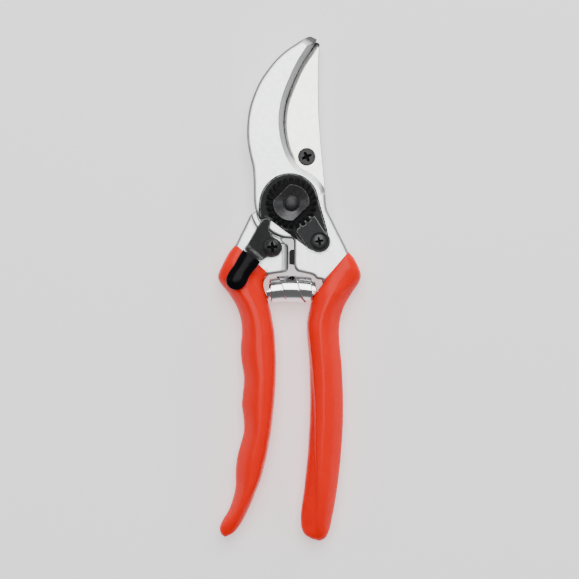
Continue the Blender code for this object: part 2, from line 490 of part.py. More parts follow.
bm = bmesh.new()
steps = round(SPRING_TURNS * 2 * 18)
rings = []
for i in range(steps + 1):
    t = -SPRING_TURNS + 2 * SPRING_TURNS * i / steps
    x0, x1 = strip_edges(t)
    r = SPRING_R - SPRING_PITCH * abs(t)
    a = 2 * math.pi * t + math.radians(250)
    ring = []
    for x, rr in ((x0, r), (x1, r), (x1, r - STRIP), (x0, r - STRIP)):
        y = SPRING_Y - SPRING_BOW * (x / SPRING_HALF) ** 2
        ring.append((x, y + rr * math.cos(a), GRIP_MID_Z + rr * math.sin(a)))
    rings.append(ring)
add("volute_spring", stack(rings), CHROME)
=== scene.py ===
"""The looks of the bypass pruning shears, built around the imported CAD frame. Lengths in the tables are millimetres."""

import math

import bmesh
import bpy
import numpy as np
from mathutils import Matrix, Vector
from mathutils.geometry import delaunay_2d_cdt


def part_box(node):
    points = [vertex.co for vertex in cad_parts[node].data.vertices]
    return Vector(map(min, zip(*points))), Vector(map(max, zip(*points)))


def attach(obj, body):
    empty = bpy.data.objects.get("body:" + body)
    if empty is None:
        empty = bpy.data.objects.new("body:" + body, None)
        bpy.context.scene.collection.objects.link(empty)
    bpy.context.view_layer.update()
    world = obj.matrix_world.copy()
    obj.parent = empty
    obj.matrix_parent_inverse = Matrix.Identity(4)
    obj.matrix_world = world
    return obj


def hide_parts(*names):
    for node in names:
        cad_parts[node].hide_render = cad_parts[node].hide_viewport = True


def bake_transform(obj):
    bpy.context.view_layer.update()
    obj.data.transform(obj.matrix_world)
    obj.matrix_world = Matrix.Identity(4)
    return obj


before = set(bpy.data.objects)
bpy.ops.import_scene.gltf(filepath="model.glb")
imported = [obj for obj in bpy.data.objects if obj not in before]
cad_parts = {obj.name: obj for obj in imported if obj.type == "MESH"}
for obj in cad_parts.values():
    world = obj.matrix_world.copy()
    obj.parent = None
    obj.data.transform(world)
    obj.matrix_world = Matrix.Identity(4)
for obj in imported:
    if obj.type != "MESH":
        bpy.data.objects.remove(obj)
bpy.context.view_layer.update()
MM = 0.001

# ------------------------------------------------------------------ levels and places, read from the frame
def levels(node):
    lo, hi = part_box(node)
    return lo.z / MM, hi.z / MM


def centre(node):
    lo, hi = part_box(node)
    return (lo.x + hi.x) / 2 / MM, (lo.y + hi.y) / 2 / MM


GRIP_MID = sum(levels("right_grip")) / 2
Z_LOW, Z_TOP = levels("bolt_washer")[1] + 0.1, levels("pivot_plate")[0] - 0.1      # 3.0, 15.0: the forgings' faces outside the grips
Z_BACK = (levels("blade_handle")[0], 5.9)
Z_BLADE = levels("cutting_blade")
Z_FRONT = (Z_BLADE[1] + 0.1, Z_TOP)
Z_PLATE = levels("pivot_plate")
Z_NUT = levels("toothed_nut")
Z_SEG = levels("lock_segment")
Z_LEVER = (levels("latch_lever")[0], levels("latch_lever")[0] + 1.6)
RISE = levels("latch_lever")[1] - Z_LEVER[1]
Z_SLEEVE = levels("latch_sleeve")
LATCH_AT = centre("latch_screw")
SEG_AT = centre("segment_screw")
BLADE_SCREW_AT = centre("blade_screw")
R_DISC, R_STEP = 15.0, 17.0

HOOK_OUTER = [(10.9, 69.9), (8.0, 71.1), (5.6, 70.1), (1.4, 67.5), (-2.4, 64.9), (-6.2, 61.5), (-10.4, 56.4), (-13.7, 51.3), (-16.0, 46.1), (-17.7, 41.0),
              (-18.6, 35.9), (-18.9, 30.7), (-18.6, 25.6), (-17.7, 20.5), (-16.5, 15.3), (-16.1, 10.2), (-16.0, 5.1), (-15.9, 0.8), (-15.3, -2.8), (-13.6, -6.4)]
HOOK_INNER = [(14.5, 5.1), (13.6, 7.4), (11.3, 10.2), (7.8, 13.0), (4.2, 15.0), (0.5, 19.2), (-1.5, 23.6), (-2.9, 29.4), (-3.4, 35.5), (-2.4, 43.3),
              (0.5, 51.4), (4.2, 59.2), (8.3, 65.7), (10.9, 69.9)]
NECK_R_OUTER = [(16.2, -4.8), (17.7, -7.7), (20.3, -12.9), (22.2, -16.6), (23.8, -19.9)]
NECK_R_INNER = [(13.0, -32.4), (10.8, -32.1), (9.6, -30.8), (7.5, -30.1), (4.4, -29.4), (2.7, -28.9), (1.6, -27.7), (1.1, -25.7)]
NECK_L_OUTER = [(-17.5, -5.2), (-18.8, -7.7), (-20.0, -10.3), (-21.4, -12.9), (-23.0, -16.3)]
NECK_L_INNER = [(-10.3, -30.5), (-9.2, -30.3), (-8.0, -30.1), (-5.9, -29.8), (-3.1, -29.3), (-1.8, -28.7), (-1.2, -27.4)]
BACK_HEAD_TOP = [(14.4, 3.0), (13.5, 8.0), (12.3, 15.0), (10.5, 24.0), (8.8, 29.5), (4.5, 31.0), (-1.0, 28.6), (-4.5, 21.0), (-9.0, 14.0), (-13.5, 7.0), (-14.8, 1.0)]
BLADE_EDGE = [(12.2, 68.8), (10.6, 69.4), (7.7, 65.8), (3.4, 59.4), (-0.3, 51.5), (-3.3, 43.3), (-4.4, 35.4), (-4.0, 29.0), (-2.7, 23.3), (-0.9, 18.6), (-4.5, 13.5), (-9.5, 8.0)]
BLADE_SPINE = [(14.0, 3.4), (14.3, 7.7), (13.8, 13.0), (13.3, 18.8), (12.7, 25.2), (12.3, 30.7), (11.8, 37.6), (11.6, 46.6), (11.6, 54.7), (11.7, 62.4), (12.2, 68.8)]
PLATE = [(-13.6, -6.7), (-13.9, -0.9), (-12.5, 5.1), (-9.1, 9.6), (-5.3, 12.0), (-0.3, 12.8), (4.6, 11.7), (8.4, 8.9), (10.6, 5.5), (11.8, 1.2), (13.6, -5.2),
         (15.5, -12.4), (15.8, -15.4), (15.2, -18.4), (13.3, -20.4), (10.6, -20.6), (7.6, -19.3), (2.9, -16.0), (-3.1, -11.6), (-7.4, -8.3), (-8.9, -7.1), (-9.2, -6.9)]
LEVER = [(-20.0, -19.5), (-18.1, -16.7), (-16.6, -14.0), (-14.2, -9.8), (-12.2, -7.1), (-11.6, -6.6), (-9.2, -6.7), (-8.6, -7.6), (-9.1, -9.8), (-9.2, -11.3),
         (-8.5, -13.2), (-6.8, -15.0), (-5.3, -16.2), (-4.3, -17.4), (-3.9, -18.8), (-4.4, -20.6), (-5.6, -22.1), (-7.8, -22.9), (-10.2, -22.9), (-11.0, -23.4), (-12.7, -24.5)]
SLEEVE = [(-20.3, -19.8), (-22.0, -22.5), (-24.0, -26.0), (-26.4, -29.4), (-27.5, -32.1), (-27.1, -34.6), (-25.4, -36.3), (-23.3, -36.9), (-20.8, -36.0),
          (-19.1, -34.1), (-17.6, -30.9), (-15.6, -28.2), (-14.2, -26.5), (-13.2, -24.9)]
GRIP_LEFT = [((-24.0, -17.6), (-9.6, -30.25), 7.0), ((-26.5, -20.6), (-11.4, -32.6), 7.5), ((-29.3, -25.7), (-11.8, -35.0), 8.1), ((-31.4, -30.8), (-11.0, -38.0), 8.5),
             ((-30.7, -33.4), (-10.2, -40.5), 8.7), ((-26.7, -38.5), (-9.4, -43.6), 8.8), ((-23.6, -43.6), (-8.6, -46.5), 8.8), ((-21.8, -48.8), (-8.0, -50.0), 8.8),
             ((-21.2, -53.9), (-7.2, -54.5), 8.8), ((-21.7, -61.6), (-6.7, -61.8), 8.8), ((-21.4, -66.7), (-6.5, -67.0), 8.8), ((-20.3, -74.4), (-6.6, -74.4), 8.8),
             ((-20.9, -82.1), (-7.0, -82.1), 8.8), ((-21.2, -86.0), (-7.4, -86.5), 8.8), ((-20.4, -92.4), (-8.0, -92.4), 8.8), ((-20.4, -97.5), (-8.6, -97.5), 8.8),
             ((-21.7, -102.6), (-9.4, -102.0), 8.8), ((-23.1, -107.8), (-10.3, -107.0), 8.8), ((-23.8, -113.8), (-11.6, -112.5), 8.6), ((-23.9, -120.6), (-13.3, -118.5), 8.2),
             ((-24.9, -125.7), (-15.1, -123.0), 7.7), ((-26.8, -130.9), (-17.3, -128.5), 6.9), ((-29.8, -136.0), (-20.2, -134.5), 5.6), ((-30.7, -138.6), (-22.0, -137.5), 4.6),
             ((-30.1, -141.1), (-24.6, -140.6), 3.2), ((-28.8, -142.4), (-27.1, -142.0), 1.6)]
GRIP_RIGHT = [((24.6, -20.7), (14.0, -33.1), 7.0), ((26.7, -23.1), (12.05, -35.9), 7.5), ((29.3, -28.3), (9.7, -38.9), 8.1), ((29.8, -30.8), (9.2, -40.4), 8.4),
              ((29.1, -33.4), (8.3, -42.4), 8.7), ((25.7, -38.5), (7.65, -45.4), 8.8), ((22.8, -43.6), (7.0, -48.2), 8.8), ((21.1, -48.8), (6.6, -51.5), 8.8),
              ((20.5, -53.9), (6.6, -54.8), 8.8), ((20.9, -61.6), (7.2, -61.8), 8.8), ((21.6, -68.4), (7.7, -68.6), 8.8), ((21.9, -74.4), (7.85, -74.6), 8.8),
              ((22.2, -82.1), (8.0, -82.1), 8.8), ((22.2, -92.4), (7.85, -92.4), 8.8), ((21.9, -98.8), (7.5, -98.8), 8.8), ((21.4, -106.1), (7.0, -106.5), 8.8),
              ((20.5, -115.5), (6.1, -115.5), 8.6), ((19.5, -123.2), (5.3, -123.2), 8.2), ((18.2, -130.9), (4.2, -130.9), 7.4), ((17.4, -134.8), (4.0, -135.0), 6.8),
              ((16.6, -138.6), (4.4, -138.8), 5.8), ((15.7, -141.1), (5.6, -141.3), 4.6), ((14.7, -142.8), (8.0, -142.9), 3.2), ((12.9, -143.9), (11.2, -144.0), 1.6)]
TANG_END = {"left": 20, "right": 18}
GRIP_WALL, FIT = 1.3, 0.3


# ------------------------------------------------------------------ curves
def smooth(points, step=0.5):
    """Centripetal Catmull-Rom curve through points of any dimension."""
    p = [Vector(q) for q in points]
    p = [p[0] * 2 - p[1]] + p + [p[-1] * 2 - p[-2]]
    out = []
    for i in range(1, len(p) - 2):
        p0, p1, p2, p3 = p[i - 1:i + 3]
        t1 = max((p1 - p0).length, 1e-6) ** 0.5
        t2 = t1 + max((p2 - p1).length, 1e-6) ** 0.5
        t3 = t2 + max((p3 - p2).length, 1e-6) ** 0.5
        n = max(1, round((p2 - p1).length / step))
        for j in range(n):
            t = t1 + (t2 - t1) * j / n
            a1 = p0 * ((t1 - t) / t1) + p1 * (t / t1)
            a2 = p1 * ((t2 - t) / (t2 - t1)) + p2 * ((t - t1) / (t2 - t1))
            a3 = p2 * ((t3 - t) / (t3 - t2)) + p3 * ((t - t2) / (t3 - t2))
            b1 = a1 * ((t2 - t) / t2) + a2 * (t / t2)
            b2 = a2 * ((t3 - t) / (t3 - t1)) + a3 * ((t - t1) / (t3 - t1))
            out.append(b1 * ((t2 - t) / (t2 - t1)) + b2 * ((t - t1) / (t2 - t1)))
    out.append(p[-2])
    return [tuple(v) for v in out]


def line(a, b, step=0.5):
    n = max(1, round(math.dist(a, b) / step))
    return [(a[0] + (b[0] - a[0]) * i / n, a[1] + (b[1] - a[1]) * i / n) for i in range(n + 1)]


def polyline(points, step=0.5):
    out = []
    for a, b in zip(points, points[1:]):
        out += line(a, b, step)
    return out


def arc(r, a0, a1, n, at=(0.0, 0.0)):
    return [(at[0] + r * math.cos(math.radians(a0 + (a1 - a0) * i / n)), at[1] + r * math.sin(math.radians(a0 + (a1 - a0) * i / n))) for i in range(n + 1)]


def circle(r, n, at=(0.0, 0.0)):
    return arc(r, 0, 360 * (n - 1) / n, n - 1, at)


def clean(loop, gap=0.04):
    out = []
    for q in loop:
        if not out or math.dist(q, out[-1]) > gap:
            out.append((q[0], q[1]))
    while math.dist(out[0], out[-1]) <= gap:
        out.pop()
    return out


def area(loop):
    return 0.5 * sum(a[0] * b[1] - b[0] * a[1] for a, b in zip(loop, loop[1:] + loop[:1]))


def segments(points, closed=True):
    p = np.array(points, float)
    q = np.roll(p, -1, 0) if closed else p[1:]
    return (p if closed else p[:-1]), q


def distance(pts, seg):
    """Distance of each point to the nearest of the segments."""
    a, b = seg
    d = b - a
    L = np.maximum((d ** 2).sum(1), 1e-12)
    best = np.full(len(pts), 1e9)
    for i in range(0, len(pts), 4000):
        p = pts[i:i + 4000, None, :]
        t = np.clip(((p - a) * d).sum(2) / L, 0, 1)
        best[i:i + 4000] = np.sqrt((((a + t[..., None] * d) - p) ** 2).sum(2).min(1))
    return best


def inside(pts, loop):
    p = np.array(loop, float)
    q = np.roll(p, -1, 0)
    x, y = pts[:, 0:1], pts[:, 1:2]
    cond = (p[:, 1] > y) != (q[:, 1] > y)
    with np.errstate(divide="ignore", invalid="ignore"):
        xi = (q[:, 0] - p[:, 0]) * (y - p[:, 1]) / (q[:, 1] - p[:, 1]) + p[:, 0]
    return ((cond & (x < xi)).sum(1) % 2) == 1


def fall(d, a, b):
    """How far an elliptical edge rounding of width a and depth b drops at distance d."""
    u = np.clip(1 - d / a, 0, 1)
    return b * (1 - np.sqrt(np.maximum(1 - u * u, 0)))


def slope(d, width, depth):
    return np.clip(1 - d / width, 0, 1) * depth


def step_up(v, at, width):
    """0 below, 1 above, smooth in between."""
    t = np.clip((v - at) / width + 0.5, 0, 1)
    return t * t * (3 - 2 * t)


# ------------------------------------------------------------------ meshes
def to_object(name, verts, faces, sharp=38):
    mesh = bpy.data.meshes.new(name)
    mesh.from_pydata([tuple(v) for v in verts], [], [tuple(int(i) for i in f) for f in faces])
    mesh.update()
    bm = bmesh.new()
    bm.from_mesh(mesh)
    bmesh.ops.remove_doubles(bm, verts=bm.verts[:], dist=1e-7)
    bmesh.ops.dissolve_degenerate(bm, edges=bm.edges[:], dist=1e-7)
    bmesh.ops.recalc_face_normals(bm, faces=bm.faces[:])
    if bm.calc_volume(signed=True) < 0:
        bmesh.ops.reverse_faces(bm, faces=bm.faces[:])
    bm.to_mesh(mesh)
    bm.free()
    mesh.shade_smooth()
    if sharp:
        mesh.set_sharp_from_angle(angle=math.radians(sharp))
    o = bpy.data.objects.new(name, mesh)
    bpy.context.scene.collection.objects.link(o)
    return o


RIMS = {}


def rim_attribute(o, rim):
    """Stores how strongly each point belongs to an edge or a ground face, 0 to 1, for the painted tone there: painted
    shade on the alloy and blade steel, a painted highlight that is partly edge wear on the black parts.
    """
    m = o.data
    co = np.empty(len(m.vertices) * 3)
    m.vertices.foreach_get("co", co)
    co = co.reshape(-1, 3) / MM
    RIMS[o.name] = rim
    if "rim" in m.attributes:
        m.attributes.remove(m.attributes["rim"])
    a = m.attributes.new("rim", "FLOAT", "POINT")
    a.data.foreach_set("value", np.clip(rim(co[:, 0], co[:, 1], co[:, 2]), 0, 1).astype(np.float32))


def relief(name, outline, top, low, holes=(), radius=0.6, extra=(), grid=2.5, far=2.6, sharp=38, rim=None):
    """A solid between two height functions of (x, y, distance to the edge), over an outline with holes.
    Rows of vertices follow the edge so that its rounding is real geometry."""
    outline = clean(outline)
    if area(outline) < 0:
        outline = outline[::-1]
    loops = [outline]
    for h in holes:
        h = clean(h, 0.02)
        loops.append(h if area(h) < 0 else h[::-1])
    sa = np.concatenate([segments(l)[0] for l in loops])
    sb = np.concatenate([segments(l)[1] for l in loops])
    rings = [radius * (1 - math.cos(k * math.pi / 10)) for k in (1, 2, 3, 4, 5)] + [radius + 0.25]
    w = radius + 0.9
    while w < far:
        rings.append(w)
        w *= 1.45
    cand = []
    for l in loops:
        p = np.array(l)
        t = np.roll(p, -1, 0) - np.roll(p, 1, 0)
        t /= np.maximum(np.linalg.norm(t, axis=1, keepdims=True), 1e-9)
        n = np.stack([-t[:, 1], t[:, 0]], 1)
        for r in rings:
            every = 1 if r < radius + 0.5 else 2
            c = (p + n * r)[::every]
            d = distance(c, (sa, sb))
            cand.append(c[np.abs(d - r) < 0.06 * r + 0.003])
    for e in extra:
        cand.append(np.array(e, float))
    p = np.array(outline)
    lo, hi = p.min(0), p.max(0)
    gx, gy = np.meshgrid(np.arange(lo[0], hi[0], grid), np.arange(lo[1], hi[1], grid * 0.87))
    gx[1::2] += grid / 2
    g = np.stack([gx.ravel(), gy.ravel()], 1)
    d = distance(g, (sa, sb))
    cand.append(g[d > radius + 0.8])
    pts = np.concatenate([c for c in cand if len(c)])
    keep = inside(pts, outline)
    for h in loops[1:]:
        keep &= ~inside(pts, h)
    d = distance(pts, (sa, sb))
    keep &= d > 0.012
    pts = pts[keep]
    seen, chosen = {}, []
    cell = 0.05
    for q in pts:
        k = (int(q[0] // cell), int(q[1] // cell))
        if any((k[0] + i, k[1] + j) in seen for i in (-1, 0, 1) for j in (-1, 0, 1) if (k[0] + i, k[1] + j) in seen and math.dist(seen[(k[0] + i, k[1] + j)], q) < 0.035):
            continue
        seen[k] = (q[0], q[1])
        chosen.append((q[0], q[1]))
    verts, edges = [], []
    for l in loops:
        s = len(verts)
        verts += [tuple(q) for q in l]
        edges += [(s + i, s + (i + 1) % len(l)) for i in range(len(l))]
    verts += chosen
    v2, _, f2, _, _, _ = delaunay_2d_cdt([Vector(v) for v in verts], edges, [], 1, 1e-6)
    v2 = np.array([tuple(v) for v in v2])
    f2 = np.array([f for f in f2 if len(f) == 3])
    c = v2[f2].mean(1)
    keep = inside(c, outline)
    for h in loops[1:]:
        keep &= ~inside(c, h)
    f2 = f2[keep]
    a, b, c = v2[f2[:, 0]], v2[f2[:, 1]], v2[f2[:, 2]]
    cr = (b[:, 0] - a[:, 0]) * (c[:, 1] - a[:, 1]) - (b[:, 1] - a[:, 1]) * (c[:, 0] - a[:, 0])
    f2 = f2[np.abs(cr) > 1e-9]
    cr = cr[np.abs(cr) > 1e-9]
    f2[cr < 0] = f2[cr < 0][:, ::-1]
    d = distance(v2, (sa, sb))
    d[d < 2e-3] = 0
    zt, zl = top(v2[:, 0], v2[:, 1], d), low(v2[:, 0], v2[:, 1], d)
    n = len(v2)
    count = {}
    for f in f2:
        for i in range(3):
            e = (int(f[i]), int(f[(i + 1) % 3]))
            count[e] = count.get(e, 0) + 1
    F = [tuple(f) for f in f2] + [tuple(f[::-1] + n) for f in f2]
    # the walls have a row of vertices a little below their upper edge, where the painted edge tone ends
    middle, places = {}, []
    for (i, j) in count:
        if (j, i) not in count:
            for k in (i, j):
                if k not in middle:
                    middle[k] = 2 * n + len(places)
                    places.append((v2[k][0], v2[k][1], zt[k] - min(0.8, 0.3 * (zt[k] - zl[k]))))
            F.append((j, i, middle[i], middle[j]))
            F.append((middle[j], middle[i], i + n, j + n))
    V = np.concatenate([np.column_stack([v2, zt]), np.column_stack([v2, zl]), np.array(places)]) * MM
    used = sorted({i for f in F for i in f})
    remap = {i: k for k, i in enumerate(used)}
    o = to_object(name, V[used], [[remap[i] for i in f] for f in F], sharp)
    near = lambda x, y: distance(np.column_stack([x, y]), (sa, sb))
    rim_attribute(o, (lambda x, y, z: rim(x, y, z, near(x, y))) if rim else (lambda x, y, z: 1 - near(x, y) / (radius * 0.75)))
    return o


def loft(name, rings, cap_start=True, cap_end=True, sharp=40):
    n = len(rings[0])
    V = [p for r in rings for p in r]
    F = []
    for i in range(len(rings) - 1):
        for j in range(n):
            k = (j + 1) % n
            F.append((i * n + j, i * n + k, (i + 1) * n + k, (i + 1) * n + j))
    for i, cap in ((0, cap_start), (len(rings) - 1, cap_end)):
        if cap:
            c = len(V)
            V.append(tuple(np.mean([rings[i][j] for j in range(n)], 0)))
            F += [(i * n + j, i * n + (j + 1) % n, c) for j in range(n)]
    return to_object(name, np.array(V) * MM, F, sharp)


def turned(name, profile, sides=96, at=(0.0, 0.0), sharp=38):
    """A solid of revolution from (radius, z) points, from the axis and back to it, or a closed ring."""
    V, F, rows = [], [], []
    for r, z in profile:
        if r < 1e-6:
            rows.append([len(V)] * sides)
            V.append((at[0], at[1], z))
        else:
            rows.append(list(range(len(V), len(V) + sides)))
            V += [(at[0] + r * math.cos(2 * math.pi * i / sides), at[1] + r * math.sin(2 * math.pi * i / sides), z) for i in range(sides)]
    pairs = list(zip(rows, rows[1:]))
    if profile[0][0] > 1e-6:
        pairs.append((rows[-1], rows[0]))
    for a, b in pairs:
        for i in range(sides):
            j = (i + 1) % sides
            f = []
            for v in (a[i], a[j], b[j], b[i]):
                if v not in f:
                    f.append(v)
            if len(f) > 2:
                F.append(f)
    return to_object(name, np.array(V) * MM, F, sharp)


def apply_modifiers(o, sharp=38):
    dg = bpy.context.evaluated_depsgraph_get()
    m = bpy.data.meshes.new_from_object(o.evaluated_get(dg))
    o.modifiers.clear()
    o.data = m
    if o.name in RIMS:
        rim_attribute(o, RIMS[o.name])
    m.shade_smooth()
    if sharp:
        m.set_sharp_from_angle(angle=math.radians(sharp))


def boolean(o, tool, operation, sharp=38):
    m = o.modifiers.new("b", "BOOLEAN")
    m.operation = operation
    m.solver = "EXACT"
    m.object = tool
    bpy.context.view_layer.update()
    apply_modifiers(o, sharp)
    bpy.data.objects.remove(tool, do_unlink=True)


def rounded(profile_r, n=6):
    """Quarter-round (inset, rise) steps of radius profile_r."""
    return [(profile_r * (1 - math.sin(k * math.pi / 2 / n)), profile_r * (1 - math.cos(k * math.pi / 2 / n))) for k in range(n + 1)]


# ------------------------------------------------------------------ materials
def node_material(name, base, rough, metallic, grain=(4000, 0.05), speck=(600, 0.06), rough_var=0.08, brushed=None, coat=0.0, spec=0.5, painted_light_and_wear=None, anis=0.0, coat_rough=0.08, ragged=0.25):
    """A Principled material whose colour, roughness and surface come from layered noise.
    grain: fine surface scale and depth (micrometres, as bump). speck: broad colour variation. brushed: (along-axis, scale) of grinding lines."""
    m = bpy.data.materials.new(name)
    m.use_nodes = True
    nt = m.node_tree
    N, L = nt.nodes, nt.links
    b = N["Principled BSDF"]
    b.inputs["Metallic"].default_value = metallic
    b.inputs["Roughness"].default_value = rough
    b.inputs["Specular IOR Level"].default_value = spec
    b.inputs["Coat Weight"].default_value = coat
    b.inputs["Coat Roughness"].default_value = coat_rough
    b.inputs["Anisotropic"].default_value = anis
    tc = N.new("ShaderNodeTexCoord")

    def noise(scale, detail=4.0, rough_=0.55, stretch=None):
        src = tc.outputs["Object"]
        if stretch:
            mp = N.new("ShaderNodeMapping")
            mp.inputs["Scale"].default_value = stretch
            L.new(src, mp.inputs["Vector"])
            src = mp.outputs["Vector"]
        n = N.new("ShaderNodeTexNoise")
        n.inputs["Scale"].default_value = scale
        n.inputs["Detail"].default_value = detail
        n.inputs["Roughness"].default_value = rough_
        L.new(src, n.inputs["Vector"])
        return n.outputs["Fac"]

    def ramp(src, lo, hi, a, c):
        r = N.new("ShaderNodeMapRange")
        r.inputs["From Min"].default_value, r.inputs["From Max"].default_value = lo, hi
        r.inputs["To Min"].default_value, r.inputs["To Max"].default_value = a, c
        L.new(src, r.inputs["Value"])
        return r.outputs["Result"]

    broad = noise(speck[0], 5.0)
    mix = N.new("ShaderNodeMix")
    mix.data_type = "RGBA"
    dark = tuple(c * (1 - speck[1]) for c in base)
    light = tuple(min(1.0, c * (1 + speck[1])) for c in base)
    mix.inputs[6].default_value, mix.inputs[7].default_value = (*dark, 1), (*light, 1)
    L.new(ramp(broad, 0.3, 0.7, 0, 1), mix.inputs[0])
    colour = mix.outputs[2]
    # Mixes in a painted edge tone by the rim attribute: painted shade on the alloy and blade steel, and a painted
    # highlight that is partly edge wear on the black parts.
    if painted_light_and_wear:
        at = N.new("ShaderNodeAttribute")
        at.attribute_name = "rim"
        rag = noise(700, 6.0)
        scale = N.new("ShaderNodeMath")
        scale.operation = "MULTIPLY"
        L.new(at.outputs["Fac"], scale.inputs[0])
        L.new(ramp(rag, 0.35, 0.6, ragged, 1.0), scale.inputs[1])
        w = N.new("ShaderNodeMix")
        w.data_type = "RGBA"
        w.inputs[7].default_value = (*painted_light_and_wear[0], 1)
        L.new(ramp(scale.outputs[0], 0.0 if ragged > 0.5 else 0.05, 1.0 if ragged > 0.5 else 0.6, 0, painted_light_and_wear[1]), w.inputs[0])
        L.new(colour, w.inputs[6])
        colour = w.outputs[2]
    L.new(colour, b.inputs["Base Color"])
    L.new(ramp(noise(speck[0] * 1.7, 3.0), 0.25, 0.75, max(0.02, rough - rough_var), rough + rough_var), b.inputs["Roughness"])
    fine = noise(grain[0], 3.0, 0.6, brushed)
    bump = N.new("ShaderNodeBump")
    bump.inputs["Strength"].default_value = 0.6
    bump.inputs["Distance"].default_value = grain[1] * 1e-3
    L.new(fine, bump.inputs["Height"])
    L.new(bump.outputs["Normal"], b.inputs["Normal"])
    return m


# The edge tones below are painted: dark painted shade on the alloy and blade steel, and a light painted highlight,
# partly edge wear, on the black oxide, the nut and the segment.
ALLOY = node_material("alloy_blasted", (0.90, 0.91, 0.92), 0.42, 0.95, grain=(5200, 0.034), speck=(500, 0.035), rough_var=0.05, painted_light_and_wear=((0.055, 0.056, 0.058), 1.0), ragged=0.9)
STEEL = node_material("blade_ground", (0.74, 0.735, 0.705), 0.30, 0.97, grain=(2600, 0.010), speck=(260, 0.025), rough_var=0.05, brushed=(1.0, 0.12, 1.0), painted_light_and_wear=((0.020, 0.020, 0.020), 1.0), ragged=0.9)
BLACK = node_material("black_oxide", (0.014, 0.0145, 0.015), 0.40, 0.0, grain=(4200, 0.022), speck=(800, 0.25), rough_var=0.08, spec=0.07, painted_light_and_wear=((0.20, 0.20, 0.20), 0.85))
NUT = node_material("black_nut", (0.006, 0.006, 0.0065), 0.42, 0.0, grain=(4200, 0.022), speck=(800, 0.25), rough_var=0.08, spec=0.04, painted_light_and_wear=((0.19, 0.19, 0.19), 0.85))
DISH = node_material("black_turned", (0.066, 0.066, 0.069), 0.34, 0.8, grain=(3800, 0.012), speck=(900, 0.2), rough_var=0.06, spec=0.3)
SCREWS = node_material("black_screw", (0.016, 0.016, 0.017), 0.34, 0.0, grain=(3600, 0.012), speck=(900, 0.3), rough_var=0.08, spec=0.24)
SEG = node_material("phosphate_grey", (0.020, 0.021, 0.022), 0.38, 0.0, grain=(4200, 0.022), speck=(900, 0.25), rough_var=0.08, spec=0.09, painted_light_and_wear=((0.26, 0.26, 0.26), 0.9))
SATIN = node_material("black_screw_satin", (0.020, 0.020, 0.021), 0.33, 0.0, grain=(3600, 0.02), speck=(900, 0.3), rough_var=0.08, spec=0.42)
# Painted shade: a darker, duller material for the screws' cross recesses.
RECESS_SHADE = node_material("screw_recess_painted_shade", (0.003, 0.003, 0.003), 0.5, 0.0, grain=(3600, 0.012), speck=(900, 0.3), rough_var=0.08, spec=0.05)
CHROME = node_material("spring_polished", (0.84, 0.84, 0.85), 0.14, 1.0, grain=(1800, 0.004), speck=(300, 0.03), rough_var=0.03)
SEAM = node_material("spring_edge", (0.45, 0.45, 0.45), 0.45, 0.5, grain=(2600, 0.01), speck=(500, 0.1))
RED = node_material("red_vinyl", (0.90, 0.006, 0.0), 0.21, 0.0, grain=(1500, 0.005), speck=(180, 0.02), rough_var=0.03, spec=0.10)
VINYL = node_material("black_vinyl_gloss", (0.004, 0.004, 0.005), 0.16, 0.0, grain=(1500, 0.006), speck=(260, 0.2), rough_var=0.03, spec=0.055)
RUBBER = node_material("rubber_black", (0.008, 0.008, 0.009), 0.6, 0.0, grain=(3500, 0.03), speck=(800, 0.25), rough_var=0.08, spec=0.2)
BRONZE = node_material("bush_bronze", (0.55, 0.38, 0.18), 0.38, 1.0, grain=(4200, 0.02), speck=(700, 0.12))
WASHER = node_material("washer_steel", (0.60, 0.60, 0.60), 0.32, 1.0, grain=(2600, 0.01), speck=(500, 0.08))


def finish_piece(o, body, nodes, mat):
    if RECESS_SHADE.name not in o.data.materials:
        o.data.materials.clear()
        o.data.materials.append(mat)
    if body:
        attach(o, body)
    if nodes:
        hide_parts(*nodes)
    return o


# ------------------------------------------------------------------ front forging
outer_curve = smooth(HOOK_OUTER)
inner_curve = smooth(HOOK_INNER)
neck_in = smooth(NECK_R_INNER)
neck_out = smooth(NECK_R_OUTER)
front_outline = outer_curve + arc(R_DISC, 205, 256, 26) + polyline([(-3.7, -14.7), (0.3, -15.0)]) + smooth([(0.3, -15.0), (0.8, -15.4), (1.1, -16.4)], 0.3) \
    + line((1.1, -16.4), (1.1, -25.7)) + neck_in[::-1] + polyline([NECK_R_INNER[0], (13.4, -34.3), (25.2, -22.7), NECK_R_OUTER[-1]]) + neck_out[::-1] + smooth([(16.2, -4.8), (15.2, -2.6), (14.6, 1.7), (14.5, 5.1)]) + inner_curve
seg_inner = segments(inner_curve, False)


RIM_POWER = 5.0


def into_grip(x, y, pairs, reach):
    """0 on the neck, 1 where the forging has taken on the section that the sleeve covers, and that section's half height."""
    a, b, h = pairs[0]
    a, b = np.array(a), np.array(b)
    u = (a - b) / np.linalg.norm(a - b)
    w = np.linalg.norm(a - b) / 2
    c = (a + b) / 2
    down_ = np.array([u[1], -u[0]])
    if down_[1] > 0:
        down_ = -down_
    across_ = np.clip(np.abs((x - c[0]) * u[0] + (y - c[1]) * u[1]) / (w - 0.25), 0, 0.92)
    past = (x - c[0]) * down_[0] + (y - c[1]) * down_[1]
    t = step_up(past, 0.4, reach)
    half = (h - 0.7) * (1 - across_ ** RIM_POWER) ** (1 / RIM_POWER)
    return t, half


def hook_top(x, y, d):
    p = np.column_stack([x, y])
    drop = fall(d, 1.25, 1.0)
    t, half = into_grip(x, y, GRIP_RIGHT, 1.6)
    t = t * (x > 1)
    drop = drop * (1 - t) + np.maximum(Z_TOP - GRIP_MID - half, 0.0) * t
    di = distance(p, seg_inner)
    drop = np.maximum(drop, slope(di, 2.1, 1.5))
    tip = np.clip((y - 66.2 + 0.55 * (x - 8.0)) / 5.0, 0, 1)
    drop = np.maximum(drop, tip * 2.2)
    return Z_TOP - drop


